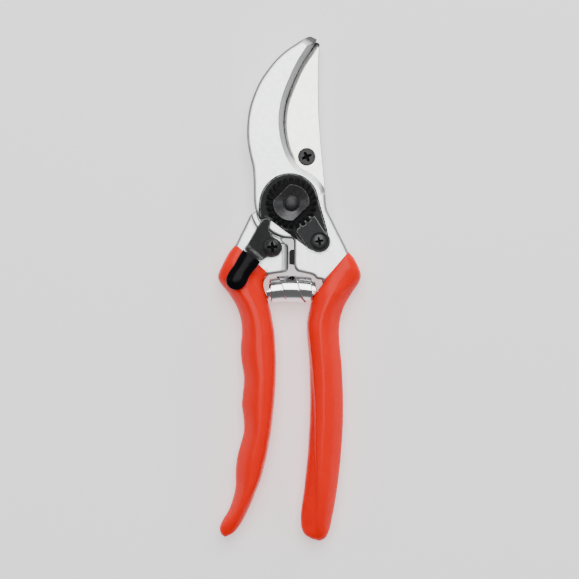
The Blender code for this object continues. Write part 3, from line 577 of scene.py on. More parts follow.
def hook_low(x, y, d):
    r = np.hypot(x, y)
    neck = step_up(r, R_STEP + 0.25, 0.5) * step_up(-y, 4.0, 1.0) * (x > 0.2)
    z = Z_FRONT[0] + (Z_LOW - Z_FRONT[0]) * neck
    z = z + fall(d, 0.5, 0.4) * (0.4 + 0.6 * neck)
    t, half = into_grip(x, y, GRIP_RIGHT, 1.6)
    t = t * (x > 1)
    return z * (1 - t) + np.maximum(z, GRIP_MID - half) * t


def offset_curve(curve, dists):
    p = np.array(curve)
    t = np.gradient(p, axis=0)
    t /= np.maximum(np.linalg.norm(t, axis=1, keepdims=True), 1e-9)
    n = np.stack([-t[:, 1], t[:, 0]], 1)
    return np.concatenate([p + n * s for s in dists])


extra = [offset_curve(inner_curve, (2.02, 2.1, 2.18, 1.2)), np.array(arc(R_STEP, -95, -5, 60)), np.array(arc(R_STEP + 0.5, -95, -5, 60)),
         np.array(arc(R_STEP + 0.25, -95, -5, 60))]


def painted_edge_shade(z, d):
    """Painted shade: darker along the rounding of the upper outline, fading on the walls below it."""
    return (0.58 * (1 - step_up(d, 1.2, 0.9)) + 0.37 * np.clip(1 - d / 0.4, 0, 1)) * (0.22 + 0.78 * (z > Z_TOP - 1.35))


# Painted shade: dark along the rounded outline, a darker band over the ground bevel that is darkest at its inner edge,
# a dark hook tip, and a painted shadow line low on the inner wall where the hook meets the blade.
def hook_rim(x, y, z, d):
    di = distance(np.column_stack([x, y]), seg_inner)
    on = step_up(y, 9.0, 3.0) * (di < 2.14)
    ground = on * (0.13 + 0.40 * np.clip(1 - di / 0.45, 0, 1))
    tip = np.clip((y - 66.0 + 0.55 * (x - 8.0)) / 3.2, 0, 1)
    under = 0.9 * ((z < Z_TOP - 1.6) & (di < 0.3) & (y > 8))
    return np.maximum.reduce([painted_edge_shade(z, d) * (1 - on), ground, tip, under])


hook = relief("hook_handle_forged", front_outline, hook_top, hook_low, holes=[circle(4.3, 72), circle(2.3, 32, SEG_AT)], radius=1.25, extra=extra, rim=hook_rim)


def grip_stations(pairs, step=1.2):
    data = smooth([(a[0], a[1], b[0], b[1]) for a, b, h in pairs], step)
    ctrl = [Vector((a[0], a[1], b[0], b[1])) for a, b, h in pairs]
    out = []
    # the heights follow the same parameter as the edge points
    counts = [max(1, round((q - p).length / step)) for p, q in zip(ctrl, ctrl[1:])]
    k = 0
    for s, n in enumerate(counts):
        for j in range(n):
            f = j / n
            h = pairs[s][2] * (1 - f) + pairs[s + 1][2] * f
            out.append((data[k], h, s + f))
            k += 1
    out.append((data[k], pairs[-1][2], len(pairs) - 1.0))
    return out


def section(row, h, shrink, sides, power=2.2, shape=None, slide=0.0):
    """One ring of a grip: a rounded box between its outer and inner edge points, with the upper side shaped by shape(share across, x, y)."""
    a, b = Vector(row[:2]), Vector(row[2:4])
    c, u = (a + b) / 2, (a - b) / 2
    w = u.length
    u = u / w
    if slide:
        dn = Vector((u.y, -u.x))
        if dn.y > 0:
            dn = -dn
        c = c + dn * slide
    ring = []
    for i in range(sides):
        t = 2 * math.pi * i / sides
        ct, st = math.cos(t), math.sin(t)
        s = math.copysign(abs(ct) ** (2 / power), ct)
        z = math.copysign(abs(st) ** (2 / power), st)
        q = c + u * (s * (w - shrink))
        if shape and z > 0:
            z *= shape(s, q.x, q.y)
        ring.append((q.x, q.y, GRIP_MID + z * (h - shrink)))
    return ring


def ease(t):
    t = min(max(t, 0.0), 1.0)
    return t * t * (3 - 2 * t)


def ridge(v, inner, outer, q=0.24):
    """How far the surface has dropped at v from a soft ridge, with one slope on each side."""
    return max((outer - inner) / 2 * v + (outer + inner) / 2 * (math.sqrt(v * v + q * q) - q), 0.0)


def left_shape(s, x, y):
    """The upper side falls off towards the fingers, from a ridge a little outside the middle."""
    on = ease((-24.0 - y) / 12.0) * ease((y + 141.0) / 8.0)
    return 1 - on * ridge(s - 0.14 + 0.18 * ease((-50.0 - y) / 45.0), 0.20, 0.66)


def right_shape(s, x, y):
    """The outer side falls off, and on the inner side a second, lower face widens towards the end."""
    on = ease((-26.0 - y) / 12.0) * ease((y + 143.0) / 6.0)
    f = 1.0 - on * ridge(s + 0.12 - 0.36 * ease((-104.0 - y) / 30.0), 0.14, 0.64)
    keys = [(-50.0, -0.93), (-56.0, -0.84), (-67.0, -0.80), (-84.0, -0.63), (-102.0, -0.51), (-113.0, -0.33), (-129.0, -0.05), (-140.0, 0.1)]
    edge = keys[0][1]
    for (y0, e0), (y1, e1) in zip(keys, keys[1:]):
        if y <= y0:
            edge = e0 + (e1 - e0) * min((y0 - y) / (y0 - y1), 1.0)
    if y < -50.0 and s < edge:
        share = ease((-50.0 - y) / 8.0) * ease((y + 143.0) / 7.0)
        f -= share * (0.20 * ease((edge - s) / 0.20) + 0.12 * ease((edge - s) / 0.9))
    return f


def tang(name, pairs, last, shape):
    rings = [section((*pairs[0][0], *pairs[0][1]), pairs[0][2], GRIP_WALL + FIT, 48, 2.5, shape, slide=s) for s in (-3.0, 0.0)]
    rings += [section((*a, *b), h, GRIP_WALL + FIT + 0.1 * min(i, 4), 48, 2.5, shape) for i, (a, b, h) in enumerate(pairs[:last + 1]) if i > 0]
    return loft(name, rings)


boolean(hook, tang("tang_r", GRIP_RIGHT, TANG_END["right"], right_shape), "UNION")
finish_piece(hook, "hook_handle", ["hook_handle"], ALLOY)

# ------------------------------------------------------------------ left forging
left_in = [(-1.2, -18.9), (-1.6, -17.5), (-2.9, -16.5), (-3.9, -15.7), (-4.0, -14.9)]
left_outline = smooth(BACK_HEAD_TOP) + arc(R_DISC - 0.2, 180, 190, 6)[1:] + smooth([(-16.0, -3.4)] + NECK_L_OUTER) + polyline([NECK_L_OUTER[-1], (-24.6, -19.4), (-11.3, -31.5), NECK_L_INNER[0]]) + smooth(NECK_L_INNER) \
    + line((-1.2, -27.4), (-1.2, -18.9)) + smooth(left_in, 0.3) + arc(R_DISC - 0.2, -104, 10, 60)


def left_top(x, y, d):
    r = np.hypot(x, y)
    side = (x < 0.5) & (y < 0)
    mid_ = step_up(r, 15.5, 0.4) * side
    high = step_up(r, R_STEP + 0.25, 0.5) * side
    z = Z_BACK[1] + (Z_BLADE[1] - Z_BACK[1]) * mid_ + (Z_TOP - Z_BLADE[1]) * high
    p = np.column_stack([x, y])
    wide = distance(p, segments(line((-1.2, -18.4), (-1.2, -27.8)), False))
    drop = np.maximum(fall(d, 1.25, 1.0), fall(wide, 2.6, 2.2) * high)
    drop = np.maximum(drop, fall(np.maximum(r - R_STEP - 0.5, 0), 0.7, 0.5) * high)
    drop = drop * np.where(high > 0.5, 1.0, 0.5)
    t, half = into_grip(x, y, GRIP_LEFT, 1.6)
    t = t * (x < -1)
    return z - (drop * (1 - t) + np.maximum(Z_TOP - GRIP_MID - half, 0.0) * t)


def left_low(x, y, d):
    z = Z_LOW + fall(d, 0.75, 0.55)
    t, half = into_grip(x, y, GRIP_LEFT, 1.6)
    t = t * (x < -1)
    return z * (1 - t) + np.maximum(z, GRIP_MID - half) * t


extra = [np.array(arc(r, 175, 275, 90)) for r in (15.3, 15.5, 15.7, R_STEP, R_STEP + 0.25, R_STEP + 0.5, R_STEP + 0.65, R_STEP + 0.9, R_STEP + 1.2)]
extra.append(np.array([(x, y) for x in (-4.3, -4.1, -3.95, -3.8, -3.3, -2.8, -2.3, -1.9, -1.6) for y in np.arange(-28.5, -17.5, 0.6)]))


# Painted shade: dark along the rounded outline and the step arc, and a grey strip with a darker line along the neck's
# rounded inner edge.
def left_rim(x, y, z, d):
    raised = (x < 0.5) & (y < 0) & (z > 12.0)
    edge = painted_edge_shade(z, np.minimum(d, np.where(raised, np.abs(np.hypot(x, y) - R_STEP - 0.5), 9.0)))
    strip = ((x > -4.3) & (x < -1.0) & (y < -18.2) & (y > -28.6) & (z > 12.0)) * (0.42 + 0.5 * np.clip(1 - np.abs(x + 3.95) / 0.3, 0, 1))
    return np.maximum(edge, strip)


left = relief("blade_handle_forged", left_outline, left_top, left_low, holes=[circle(5.5, 72), circle(2.8, 32, BLADE_SCREW_AT), circle(2.9, 32, LATCH_AT)], radius=1.25, extra=extra,
              rim=left_rim)
boolean(left, tang("tang_l", GRIP_LEFT, TANG_END["left"], left_shape), "UNION")
finish_piece(left, "blade_handle", ["blade_handle"], ALLOY)

# ------------------------------------------------------------------ cutting blade
edge_curve = smooth(BLADE_EDGE)
spine_curve = smooth(BLADE_SPINE)
seg_edge = segments(smooth(BLADE_EDGE[:10]), False)
seg_spine = segments(spine_curve, False)


def blade_top(x, y, d):
    p = np.column_stack([x, y])
    drop = fall(d, 0.25, 0.18)
    fade = step_up(y, 17.0, 4.0)
    de = distance(p, seg_edge)
    drop = np.maximum(drop, np.maximum(slope(de, 2.6, 0.6), slope(de, 1.7, 1.6)) * fade)
    drop = np.maximum(drop, np.clip((y - 66.6) / 3.0, 0, 1) * 1.2)
    return Z_BLADE[1] - drop


def blade_low(x, y, d):
    p = np.column_stack([x, y])
    return Z_BLADE[0] + np.maximum(fall(d, 0.25, 0.18), slope(distance(p, seg_edge), 4.0, 1.1) * step_up(y, 17.0, 4.0))



# Painted shade: a dark painted shadow line beside the hook's inner edge, a lighter shade over the ground bevel, a dark
# tip and darker outline edges.
def blade_rim(x, y, z, d):
    de = distance(np.column_stack([x, y]), seg_edge)
    near = np.where(y > 17, 0.95 * (1 - step_up(de, 1.5 - 0.3 * np.clip((y - 35) / 25, 0, 1), 0.25)) + 0.22 * (1 - step_up(de, 2.6, 0.15)), 0)
    return np.maximum.reduce([0.6 * np.clip(1 - d / 0.35, 0, 1), np.clip((y - 66.2) / 2.4, 0, 1), near * (z > Z_BLADE[0] + 0.6)])


blade = relief("cutting_blade_ground", edge_curve + arc(13.2, 150, 360, 120) + spine_curve, blade_top, blade_low,
               holes=[circle(5.5, 72), circle(2.8, 40, BLADE_SCREW_AT)], radius=0.3,
               rim=blade_rim,
               extra=[offset_curve(smooth(BLADE_EDGE[:10]), (1.1, 1.3, 1.5, 1.6, 1.7, 1.8, 2.1, 2.52, 2.6, 2.68, 3.92, 4.0, 4.08)), np.array([(x, y) for x in np.arange(6, 12, 0.3) for y in (66.5, 66.6, 66.7, 67.5)])], grid=2.2)
finish_piece(blade, "blade_handle", ["cutting_blade"], STEEL)

# ------------------------------------------------------------------ plate, nut, bolt, segment
plate_top = lambda x, y, d: Z_PLATE[1] - fall(d, 0.85, 0.6)
plate_low = lambda x, y, d: Z_PLATE[0] + fall(d, 0.2, 0.15)
plate_outline = smooth(PLATE[:-4], 0.4) + polyline(PLATE[-4:], 0.4)
# The rim attribute puts a painted highlight, partly edge wear, on a band along the rounded edge.
plate = relief("pivot_plate_pressed", plate_outline, plate_top, plate_low, holes=[circle(3.6, 48), circle(2.3, 32, SEG_AT)], radius=0.85,
               rim=lambda x, y, z, d: np.clip(1 - np.abs(d - 0.62) / 0.35, 0, 1))
finish_piece(plate, "hook_handle", ["pivot_plate"], BLACK)

TEETH, TIP_R, ROOT_R, BOSS_R = 24, 10.7, 9.0, 7.8
pitch = 360 / TEETH
gear = []
for i in range(TEETH):
    m = i * pitch
    for da, r in ((-0.42, ROOT_R - 0.6), (-0.40, ROOT_R - 0.2), (-0.33, TIP_R - 0.2), (-0.28, TIP_R), (0.28, TIP_R), (0.33, TIP_R - 0.2), (0.40, ROOT_R - 0.2), (0.42, ROOT_R - 0.6)):
        gear.append((r * math.cos(math.radians(m + da * pitch)), r * math.sin(math.radians(m + da * pitch))))


def nut_top(x, y, d):
    r = np.hypot(x, y)
    across = np.abs((-x + y) / math.sqrt(2))
    edge = np.minimum(BOSS_R - r, 6.1 - across)
    flange = 18.2 - fall(d, 0.3, 0.25)
    boss = 20.2 - fall(np.maximum(edge, 0), 0.6, 0.5)
    dish = 18.8 + (20.15 - 18.8) * np.clip((r - 3.75) / (7.35 - 3.75), 0, 1)
    z = np.where(edge > 0.12, boss, flange)
    mixed = np.clip(edge / 0.12, 0, 1)
    z = flange * (1 - mixed) + boss * mixed
    return np.where((r < 7.4) & (edge > 0.38), np.minimum(z, dish), z)


boss_pts = []
for o_ in (0.0, 0.06, 0.12, 0.2, 0.3, 0.37, 0.42, 0.6, 0.8, 1.0):
    for k in range(360):
        a = math.radians(k)
        u = abs((-math.cos(a) + math.sin(a)) / math.sqrt(2))
        r = min(BOSS_R - o_, (6.1 - o_) / max(u, 1e-6))
        boss_pts.append((r * math.cos(a), r * math.sin(a)))
extra = [np.array(boss_pts), np.array(sum([circle(r, 72) for r in (4.3, 5.0, 5.7, 6.4, 7.0)], []))]


# Painted highlight, partly edge wear: a light band on the boss's rounded edge and a faint one along the teeth's top
# edge.
def nut_rim(x, y, z, d):
    edge = np.minimum(BOSS_R - np.hypot(x, y), 6.1 - np.abs((-x + y) / math.sqrt(2)))
    return np.maximum(0.8 * np.clip(1 - np.abs(edge - 0.4) / 0.35, 0, 1) * (z > 19.4), 0.12 * np.clip(1 - np.abs(d - 0.1) / 0.15, 0, 1) * (z > 17.95))


nut = relief("toothed_nut_machined", gear, nut_top, lambda x, y, d: 16.4 + fall(d, 0.2, 0.1), holes=[circle(3.6, 72)], radius=0.3, extra=extra, grid=1.0, far=1.0, sharp=34, rim=nut_rim)
finish_piece(nut, "hook_handle", ["toothed_nut"], NUT)
nut.data.materials.append(DISH)
for poly in nut.data.polygons:
    r = math.hypot(poly.center.x, poly.center.y) / MM
    cx, cy = poly.center.x / MM, poly.center.y / MM
    inner_side = min(BOSS_R - r, 6.1 - abs(cy - cx) / math.sqrt(2)) > 0.40
    if 3.7 < r and inner_side and poly.normal.z > 0.5 and poly.center.z > 18.6 * MM:
        poly.material_index = 1

profile = [(0, 0), (7.3, 0)] + [(8.0 - a, b) for a, b in rounded(0.6)[::-1]] + [(8.0 - a, 2.2 - b) for a, b in rounded(0.5)] + [(4.0, 2.2), (4.0, 14.7), (3.8, 14.9), (3.25, 14.9), (3.25, 18.75)] \
    + [(3.25 - 0.35 * math.sin(k * math.pi / 8), 18.75 + 0.3 * (1 - math.cos(k * math.pi / 8))) for k in range(1, 4)] + [(2.6, 19.1), (2.0, 19.25), (1.2, 19.38), (0.5, 19.44), (0, 19.45)]
bolt = turned("pivot_bolt_turned", profile, 96)
finish_piece(bolt, "hook_handle", ["pivot_bolt"], SCREWS)

seg = []
for i in (-5, -4, -3):
    m = i * pitch + pitch / 2
    for da, r in ((-0.24, TIP_R + 0.3), (-0.21, TIP_R), (-0.13, ROOT_R + 0.5), (-0.09, ROOT_R + 0.35), (0.09, ROOT_R + 0.35), (0.13, ROOT_R + 0.5), (0.21, TIP_R), (0.24, TIP_R + 0.3)):
        seg.append((r * math.cos(math.radians(m + da * pitch)), r * math.sin(math.radians(m + da * pitch))))
seg = polyline([(2.2, -12.2), (2.6, -10.85)], 0.3) + seg + polyline([(9.7, -5.35), (11.0, -7.3), (14.2, -12.4), arc(4.7, 25, -130, 10, SEG_AT)[0]], 0.4) + arc(4.7, 25, -130, 40, SEG_AT) + polyline([(7.2, -19.4), (2.2, -12.2)], 0.4)
seg_top = lambda x, y, d: Z_SEG[1] - fall(d, 0.35, 0.3) - 1.0 * (1 - step_up(np.hypot(x - SEG_AT[0], y - SEG_AT[1]), 3.55, 0.3))
# The rim attribute puts a painted highlight, partly edge wear, along the segment's upper edges.
segment = relief("lock_segment_pressed", seg, seg_top, lambda x, y, d: Z_SEG[0] + fall(d, 0.2, 0.1), holes=[circle(2.3, 40, SEG_AT)], radius=0.35,
                 rim=lambda x, y, z, d: np.clip(1 - d / 0.4, 0, 1) * (z > Z_SEG[1] - 0.5),
                 extra=[np.array(sum([circle(r, 64, SEG_AT) for r in (3.3, 3.4, 3.55, 3.7, 3.85)], []))], grid=1.2, far=1.2)
finish_piece(segment, "hook_handle", ["lock_segment"], SEG)


# ------------------------------------------------------------------ screws
def phillips(at, size, floor, top, turn):
    """A tapered cross, to be cut from a head."""
    def ring(f, z):
        w, l = size * 0.145 * f, size * 0.56 * (0.55 + 0.45 * f)
        pts = [(l, -w * 0.8), (l, w * 0.8), (w * 1.15, w * 1.15), (w * 0.8, l), (-w * 0.8, l), (-w * 1.15, w * 1.15), (-l, w * 0.8), (-l, -w * 0.8), (-w * 1.15, -w * 1.15), (-w * 0.8, -l),
               (w * 0.8, -l), (w * 1.15, -w * 1.15)]
        c, s = math.cos(math.radians(turn)), math.sin(math.radians(turn))
        return [(at[0] + x * c - y * s, at[1] + x * s + y * c, z) for x, y in pts]
    return loft("cross", [ring(0.62, floor), ring(1.0, top - 0.35), ring(1.25, top + 0.6)], sharp=30)


def screw(name, at, head, shank_r, z_low, z_under, dome, turn, cross_depth, mat):
    """head: radius. dome: list of (share of the radius, z) from the rim to the middle."""
    prof = [(0, z_low), (shank_r - 0.3, z_low), (shank_r, z_low + 0.3), (shank_r, z_under), (head - 0.15, z_under), (head, z_under + 0.15)]
    prof += [(head * f, z) for f, z in dome]
    o = turned(name, prof, 96, at)
    top = dome[-1][1]
    boolean(o, phillips(at, head, top - cross_depth, top, turn), "DIFFERENCE", 34)
    o.data.materials.clear()
    o.data.materials.append(mat)
    o.data.materials.append(RECESS_SHADE)
    # The faces inside the cross recess take the darker material: painted shade.
    for poly in o.data.polygons:
        r = math.hypot(poly.center.x / MM - at[0], poly.center.y / MM - at[1])
        level = float(np.interp(r / head, [f for f, z in dome[::-1]], [z for f, z in dome[::-1]]))
        if r < head * 0.72 and poly.center.z / MM < level - 0.16 and poly.center.z / MM > top - cross_depth - 0.1:
            poly.material_index = 1
    return o


dome = [(1.0, 18.75)] + [(math.cos(a), 18.75 + 2.0 * math.sin(a)) for a in (0.25, 0.5, 0.75, 1.0, 1.2, 1.38)] + [(0.0, 20.75)]
s = screw("latch_screw_domed", LATCH_AT, 3.9, 2.6, 8.0, 18.3, dome, 4, 2.2, SATIN)
finish_piece(s, "blade_handle", ["latch_screw"], SCREWS)
s = screw("blade_screw_flat", BLADE_SCREW_AT, 3.8, 2.5, 3.2, 9.3, [(1.0, 9.85), (0.97, 10.05), (0.90, 10.15), (0.80, 10.1), (0.78, 9.95), (0.4, 9.97), (0.0, 9.97)], 25, 2.0, SCREWS)
finish_piece(s, "blade_handle", ["blade_screw"], SCREWS)
s = screw("segment_screw_flat", SEG_AT, 3.05, 2.0, 9.0, 17.1, [(1.0, 17.8), (0.97, 18.0), (0.9, 18.12), (0.6, 18.3), (0.3, 18.4), (0.0, 18.4)], 12, 1.7, SATIN)
finish_piece(s, "hook_handle", ["segment_screw"], SCREWS)

# ------------------------------------------------------------------ rubber bumper
bump_outline = polyline([(-0.9, -20.6), (-0.2, -19.6), (2.9, -19.6), (2.9, -26.0), (0.4, -26.0), (-0.9, -25.6), (-0.9, -20.6)], 0.35)
bumper = relief("rubber_bumper_moulded", bump_outline, lambda x, y, d: 13.5 - fall(d, 0.3, 0.3), lambda x, y, d: 4.6 + fall(d, 0.3, 0.3), radius=0.3, grid=0.8, far=0.9)
finish_piece(bumper, "hook_handle", ["rubber_bumper"], RUBBER)

# ------------------------------------------------------------------ catch
bend_a, bend_b = Vector((-19.9, -19.4)), Vector((-12.6, -24.4))
start_a, start_b = Vector((-18.1, -16.7)), Vector((-10.7, -23.05))
along = Vector((-0.56, -0.83)).normalized()


def across_tongue(d, narrow):
    pa, pb = bend_a + along * d * 1.02, bend_b + along * d * 0.98
    u = (pb - pa).normalized()
    lean = Vector((-0.06, -0.03)) * max(d - 4.0, 0)
    return pa + u * narrow + lean * 0.6, pb - u * narrow - lean * 0.25


TONGUE = [(0.4, 1.25), (4.0, 1.6), (8.0, 1.9), (12.0, 2.3), (14.6, 3.2)]
lever_outline = smooth(LEVER[1:-2], 0.4) + polyline([LEVER[-3], (-11.0, -23.35), tuple(bend_b), tuple(across_tongue(*TONGUE[0])[1])] + [tuple(across_tongue(d, w)[1]) for d, w in TONGUE[1:]]
                                                   + [tuple(across_tongue(d, w)[0]) for d, w in TONGUE[::-1]] + [tuple(bend_a), LEVER[1]], 0.4)
mid_line = (start_a + start_b) / 2
normal_line = (((bend_a + bend_b) / 2) - mid_line).normalized()
ramp_length = ((bend_a + bend_b) / 2 - mid_line).length


lever_sign = 1.0
sx, sy = (start_b - start_a).normalized()
if ((bend_a.x - start_a.x) * sy - (bend_a.y - start_a.y) * sx) < 0:
    lever_sign = -1.0


def rise_at(x, y):
    dist_ = lever_sign * ((x - start_a.x) * sy - (y - start_a.y) * sx)
    return RISE * step_up(dist_, ramp_length / 2 + 0.1, ramp_length * 1.1)


extra = [np.array([tuple(start_a.lerp(start_b, u) + normal_line * v) for u in np.linspace(0.02, 0.98, 16) for v in np.linspace(-0.4, ramp_length + 0.6, 14)])]
# The rim attribute puts a painted highlight, partly edge wear, along the upper edges, and a painted reflection on the
# bent ramp.
lever = relief("latch_lever_pressed", lever_outline, lambda x, y, d: Z_LEVER[1] + rise_at(x, y) - fall(d, 0.45, 0.4), lambda x, y, d: Z_LEVER[0] + rise_at(x, y) + fall(d, 0.2, 0.15),
               holes=[circle(2.75, 48, LATCH_AT)], radius=0.45, extra=extra, grid=1.2,
               rim=lambda x, y, z, d: np.maximum(0.8 * np.clip(1 - np.abs(d - 0.3) / 0.3, 0, 1) * (z > Z_LEVER[1] - 0.38), 0.62 * (z > Z_LEVER[1] - 0.2) * np.clip(1.9 * np.minimum(rise_at(x, y), RISE - 0.15 - rise_at(x, y)) / RISE + 0.1, 0, 1) * (rise_at(x, y) > 0.1)))
finish_piece(lever, "latch", ["latch_lever"], BLACK)

sleeve_outline = smooth(SLEEVE, 0.4)
sleeve_outline = sleeve_outline + line(sleeve_outline[-1], sleeve_outline[0], 0.4)
rim = segments(line(SLEEVE[-1], SLEEVE[0]), False)


def sleeve_half(x, y, d):
    p = np.column_stack([x, y])
    dr = distance(p, rim)
    dd = distance(p, segments(smooth(SLEEVE, 0.4), False))
    return np.maximum(fall(dd, 4.6, 1.72), fall(dr, 0.5, 0.5))


mid_sleeve = sum(Z_SLEEVE) / 2
half_sleeve = (Z_SLEEVE[1] - Z_SLEEVE[0]) / 2
sleeve = relief("latch_sleeve_dipped", sleeve_outline, lambda x, y, d: mid_sleeve + half_sleeve - sleeve_half(x, y, d), lambda x, y, d: mid_sleeve - half_sleeve + sleeve_half(x, y, d) * 0.8,
                radius=2.6, grid=1.0, far=3.0, sharp=60)
pocket = [tuple(across_tongue(d, w - 0.3)[0]) for d, w in [(-0.8, 0.9)] + TONGUE[:-1] + [(14.8, 3.2)]] + [tuple(across_tongue(d, w - 0.3)[1]) for d, w in ([(-0.8, 0.9)] + TONGUE[:-1] + [(14.8, 3.2)])[::-1]]
z0, z1 = Z_LEVER[0] + RISE - 0.15, Z_LEVER[1] + RISE + 0.15
boolean(sleeve, loft("pocket", [[(x, y, z0) for x, y in pocket], [(x, y, z1) for x, y in pocket]], sharp=None), "DIFFERENCE", 60)
finish_piece(sleeve, "latch", ["latch_sleeve"], VINYL)

# ------------------------------------------------------------------ wave washer, plain washer, bush
n, V, F = 96, [], []
ring = [(2.95, 0.05), (3.05, 0.0), (3.9, 0.0), (4.0, 0.05), (4.0, 0.4), (3.9, 0.45), (3.05, 0.45), (2.95, 0.4)]
for i in range(n):
    a = 2 * math.pi * i / n
    for r, dz in ring:
        V.append((LATCH_AT[0] + r * math.cos(a), LATCH_AT[1] + r * math.sin(a), 15.55 + dz + 0.4 * math.cos(3 * a)))
m = len(ring)
for i in range(n):
    j = (i + 1) % n
    for k in range(m):
        F.append((i * m + k, i * m + (k + 1) % m, j * m + (k + 1) % m, j * m + k))
finish_piece(to_object("latch_washer_wave", np.array(V) * MM, F), "blade_handle", ["latch_washer"], WASHER)
finish_piece(turned("bolt_washer_flat", [(4.3, 2.35), (4.4, 2.3), (7.7, 2.3), (7.8, 2.4), (7.8, 2.8), (7.7, 2.9), (4.4, 2.9), (4.3, 2.85)], 96), "blade_handle", ["bolt_washer"], WASHER)
finish_piece(turned("pivot_bush_plain", [(4.15, 3.1), (5.1, 3.1), (5.2, 3.2), (5.2, 9.0), (5.1, 9.1), (4.15, 9.1), (4.1, 9.0), (4.1, 3.2)], 96), "blade_handle", ["pivot_bush"], BRONZE)


# ------------------------------------------------------------------ grips
def grip(name, pairs, last, body, node, shape):
    sides = 128
    st = grip_stations(pairs)
    power = lambda s: 5.0 + (2.5 - 5.0) * ease(s / 5.0)
    outer = [section(row, h, 0.0, sides, power(s), shape) for row, h, s in st]
    first = st[0]
    lip = []
    for k in range(7):
        a = math.pi * k / 6
        lip.append(section(first[0], first[1], 0.6 * (1 - math.cos(a)), sides, 5.0, shape, slide=-0.4 * math.sin(a)))
    inner = [section(row, h, GRIP_WALL - 0.1, sides, power(s), shape) for row, h, s in st if 0 < s <= last]
    row, h, s = [q for q in st if q[2] <= last][-1]
    inner.append(section(row, h, GRIP_WALL + 0.6, sides, 2.5, shape, slide=0.8))
    return finish_piece(loft(name, inner[::-1] + lip[::-1][:-1] + outer, sharp=70), body, [node], RED)


grip("left_grip_dipped", GRIP_LEFT, TANG_END["left"], "blade_handle", "left_grip", left_shape)
grip("right_grip_dipped", GRIP_RIGHT, TANG_END["right"], "hook_handle", "right_grip", right_shape)

# ------------------------------------------------------------------ volute spring
TURNS, SPRING_R, STRIP = 2.0, 5.8, 0.36
HALF, SPRING_Y, BOW = 10.7, -36.2, 1.0


def coil_radius(t):
    t = abs(t)
    return SPRING_R - 0.42 * min(t, 1.0) - 1.9 * max(t - 1.0, 0.0)


def strip_edges(t):
    """The two edges of the strip; the first half winds in to the left, the second to the right."""
    u = abs(t)
    far = 3.4 + 5.4 * (1 - (1 - min(u, 1.0)) ** 2.2) + (HALF - 8.8) * max(u - 1.0, 0.0)
    near = 3.4 - 6.8 * min(u, 1.0) - 1.5 * max(u - 1.0, 0.0)
    return (-far, near) if t <= 0 else (-near, far)


rings = []
steps = round(TURNS * 2 * 96)
for i in range(steps + 1):
    t = -TURNS + 2 * TURNS * i / steps
    x0, x1 = strip_edges(t)
    r = coil_radius(t)
    a = 2 * math.pi * t + math.radians(90)
    e = 0.05
    ring = []
    inner_w = max(x1 - x0 - 2 * e, 0.1)
    cross_pts = [(x0, r - e), (x0 + e * 0.3, r - e * 0.3), (x0 + e, r)] + [(x0 + e + inner_w * k / 8, r) for k in range(1, 8)] + [(x1 - e, r), (x1 - e * 0.3, r - e * 0.3), (x1, r - e)] \
        + [(x1, r - STRIP + e), (x1 - e * 0.3, r - STRIP + e * 0.3), (x1 - e, r - STRIP)] + [(x1 - e - inner_w * k / 8, r - STRIP) for k in range(1, 8)] + [(x0 + e, r - STRIP), (x0 + e * 0.3, r - STRIP + e * 0.3), (x0, r - STRIP + e)]
    for x, rr in cross_pts:
        y = SPRING_Y - BOW * (x / HALF) ** 2
        ring.append((x, y + rr * math.cos(a), GRIP_MID + rr * math.sin(a)))
    rings.append(ring)
spring = loft("volute_spring_wound", rings, sharp=45)
spring.data.materials.clear()
spring.data.materials.append(CHROME)
spring.data.materials.append(SEAM)
for poly in spring.data.polygons:
    if abs(poly.normal.x) > 0.55:
        poly.material_index = 1
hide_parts("volute_spring")
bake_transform(spring)

# ------------------------------------------------------------------ floor, light, camera
mesh = bpy.data.meshes.new("floor")
mesh.from_pydata([(-3, -3, 0), (3, -3, 0), (3, 3, 0), (-3, 3, 0)], [], [(0, 1, 2, 3)])
floor = bpy.data.objects.new("floor", mesh)
bpy.context.scene.collection.objects.link(floor)
fm = bpy.data.materials.new("floor_white")
fm.use_nodes = True
fb = fm.node_tree.nodes["Principled BSDF"]
fb.inputs["Base Color"].default_value = (0.95, 0.95, 0.95, 1)
fb.inputs["Roughness"].default_value = 0.9
fb.inputs["Specular IOR Level"].default_value = 0.1
fb.inputs["Emission Color"].default_value = (1, 1, 1, 1)
fb.inputs["Emission Strength"].default_value = 0.5
mesh.materials.append(fm)
floor.location.z = -0.0002

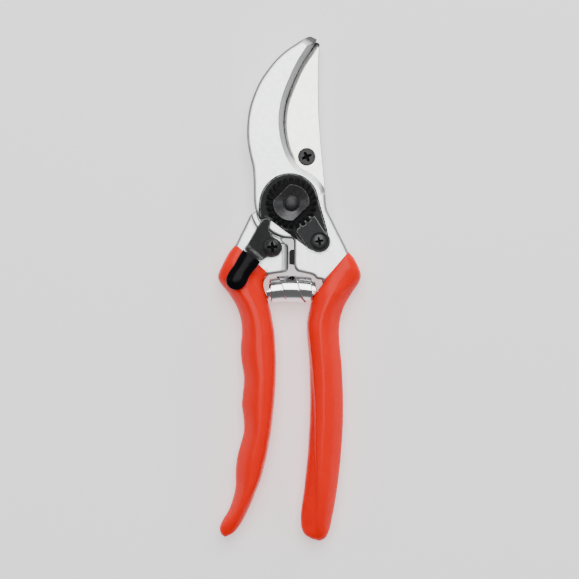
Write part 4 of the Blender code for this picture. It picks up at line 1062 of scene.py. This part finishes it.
world = bpy.context.scene.world or bpy.data.worlds.new("world")
bpy.context.scene.world = world
world.use_nodes = True
bg = world.node_tree.nodes.get("Background") or world.node_tree.nodes.new("ShaderNodeBackground")
# a pale sweep near the horizon, darker above it, so that the metal has something dark to mirror
W, WL = world.node_tree.nodes, world.node_tree.links
wt = W.new("ShaderNodeTexCoord")
ws = W.new("ShaderNodeSeparateXYZ")
wr = W.new("ShaderNodeValToRGB")
WL.new(wt.outputs["Generated"], ws.inputs[0])
WL.new(ws.outputs["Z"], wr.inputs[0])
WL.new(wr.outputs["Color"], bg.inputs[0])
while len(wr.color_ramp.elements) < 4:
    wr.color_ramp.elements.new(0.5)
for e, (pos, v) in zip(wr.color_ramp.elements, ((0.0, 0.45), (0.10, 0.38), (0.24, 0.12), (1.0, 0.10))):
    e.position = pos
    e.color = (v, v, v * 1.01, 1)
bg.inputs[1].default_value = 1.3


def area_light(name, at, to, size, radiance, size_y=None):
    """A soft box that looks equally bright from everywhere; its power follows from its brightness."""
    l = bpy.data.lights.new(name, "AREA")
    l.shape = "RECTANGLE"
    l.size, l.size_y = size, size_y or size
    l.energy = radiance * math.pi * l.size * l.size_y
    o = bpy.data.objects.new(name, l)
    o.location = at
    o.rotation_euler = (Vector(to) - Vector(at)).to_track_quat("-Z", "Y").to_euler()
    bpy.context.scene.collection.objects.link(o)
    return o


area_light("soft_top", (0.0, 0.42, 1.25), (0, 0.03, 0), 0.85, 6.2, 1.3)
area_light("strip_left", (-0.95, 0.1, 0.72), (0, -0.03, 0), 0.10, 4.0, 0.8)
area_light("strip_far", (0.62, 0.92, 0.40), (0, 0, 0), 0.62, 14.0, 0.16)
area_light("strip_right", (0.95, 0.05, 0.80), (0, -0.03, 0), 0.10, 4.0, 0.8)

cam = bpy.data.cameras.new("camera")
cam.lens = 100
cam.sensor_width = 36
camera = bpy.data.objects.new("camera", cam)
bpy.context.scene.collection.objects.link(camera)
FIELD = 579 * 0.4275 * MM
camera.location = (-0.00077, -0.0366, FIELD * cam.lens / cam.sensor_width + 0.010)
camera.rotation_euler = (0, 0, 0)
cam.clip_start, cam.clip_end = 0.01, 20
bpy.context.scene.camera = camera
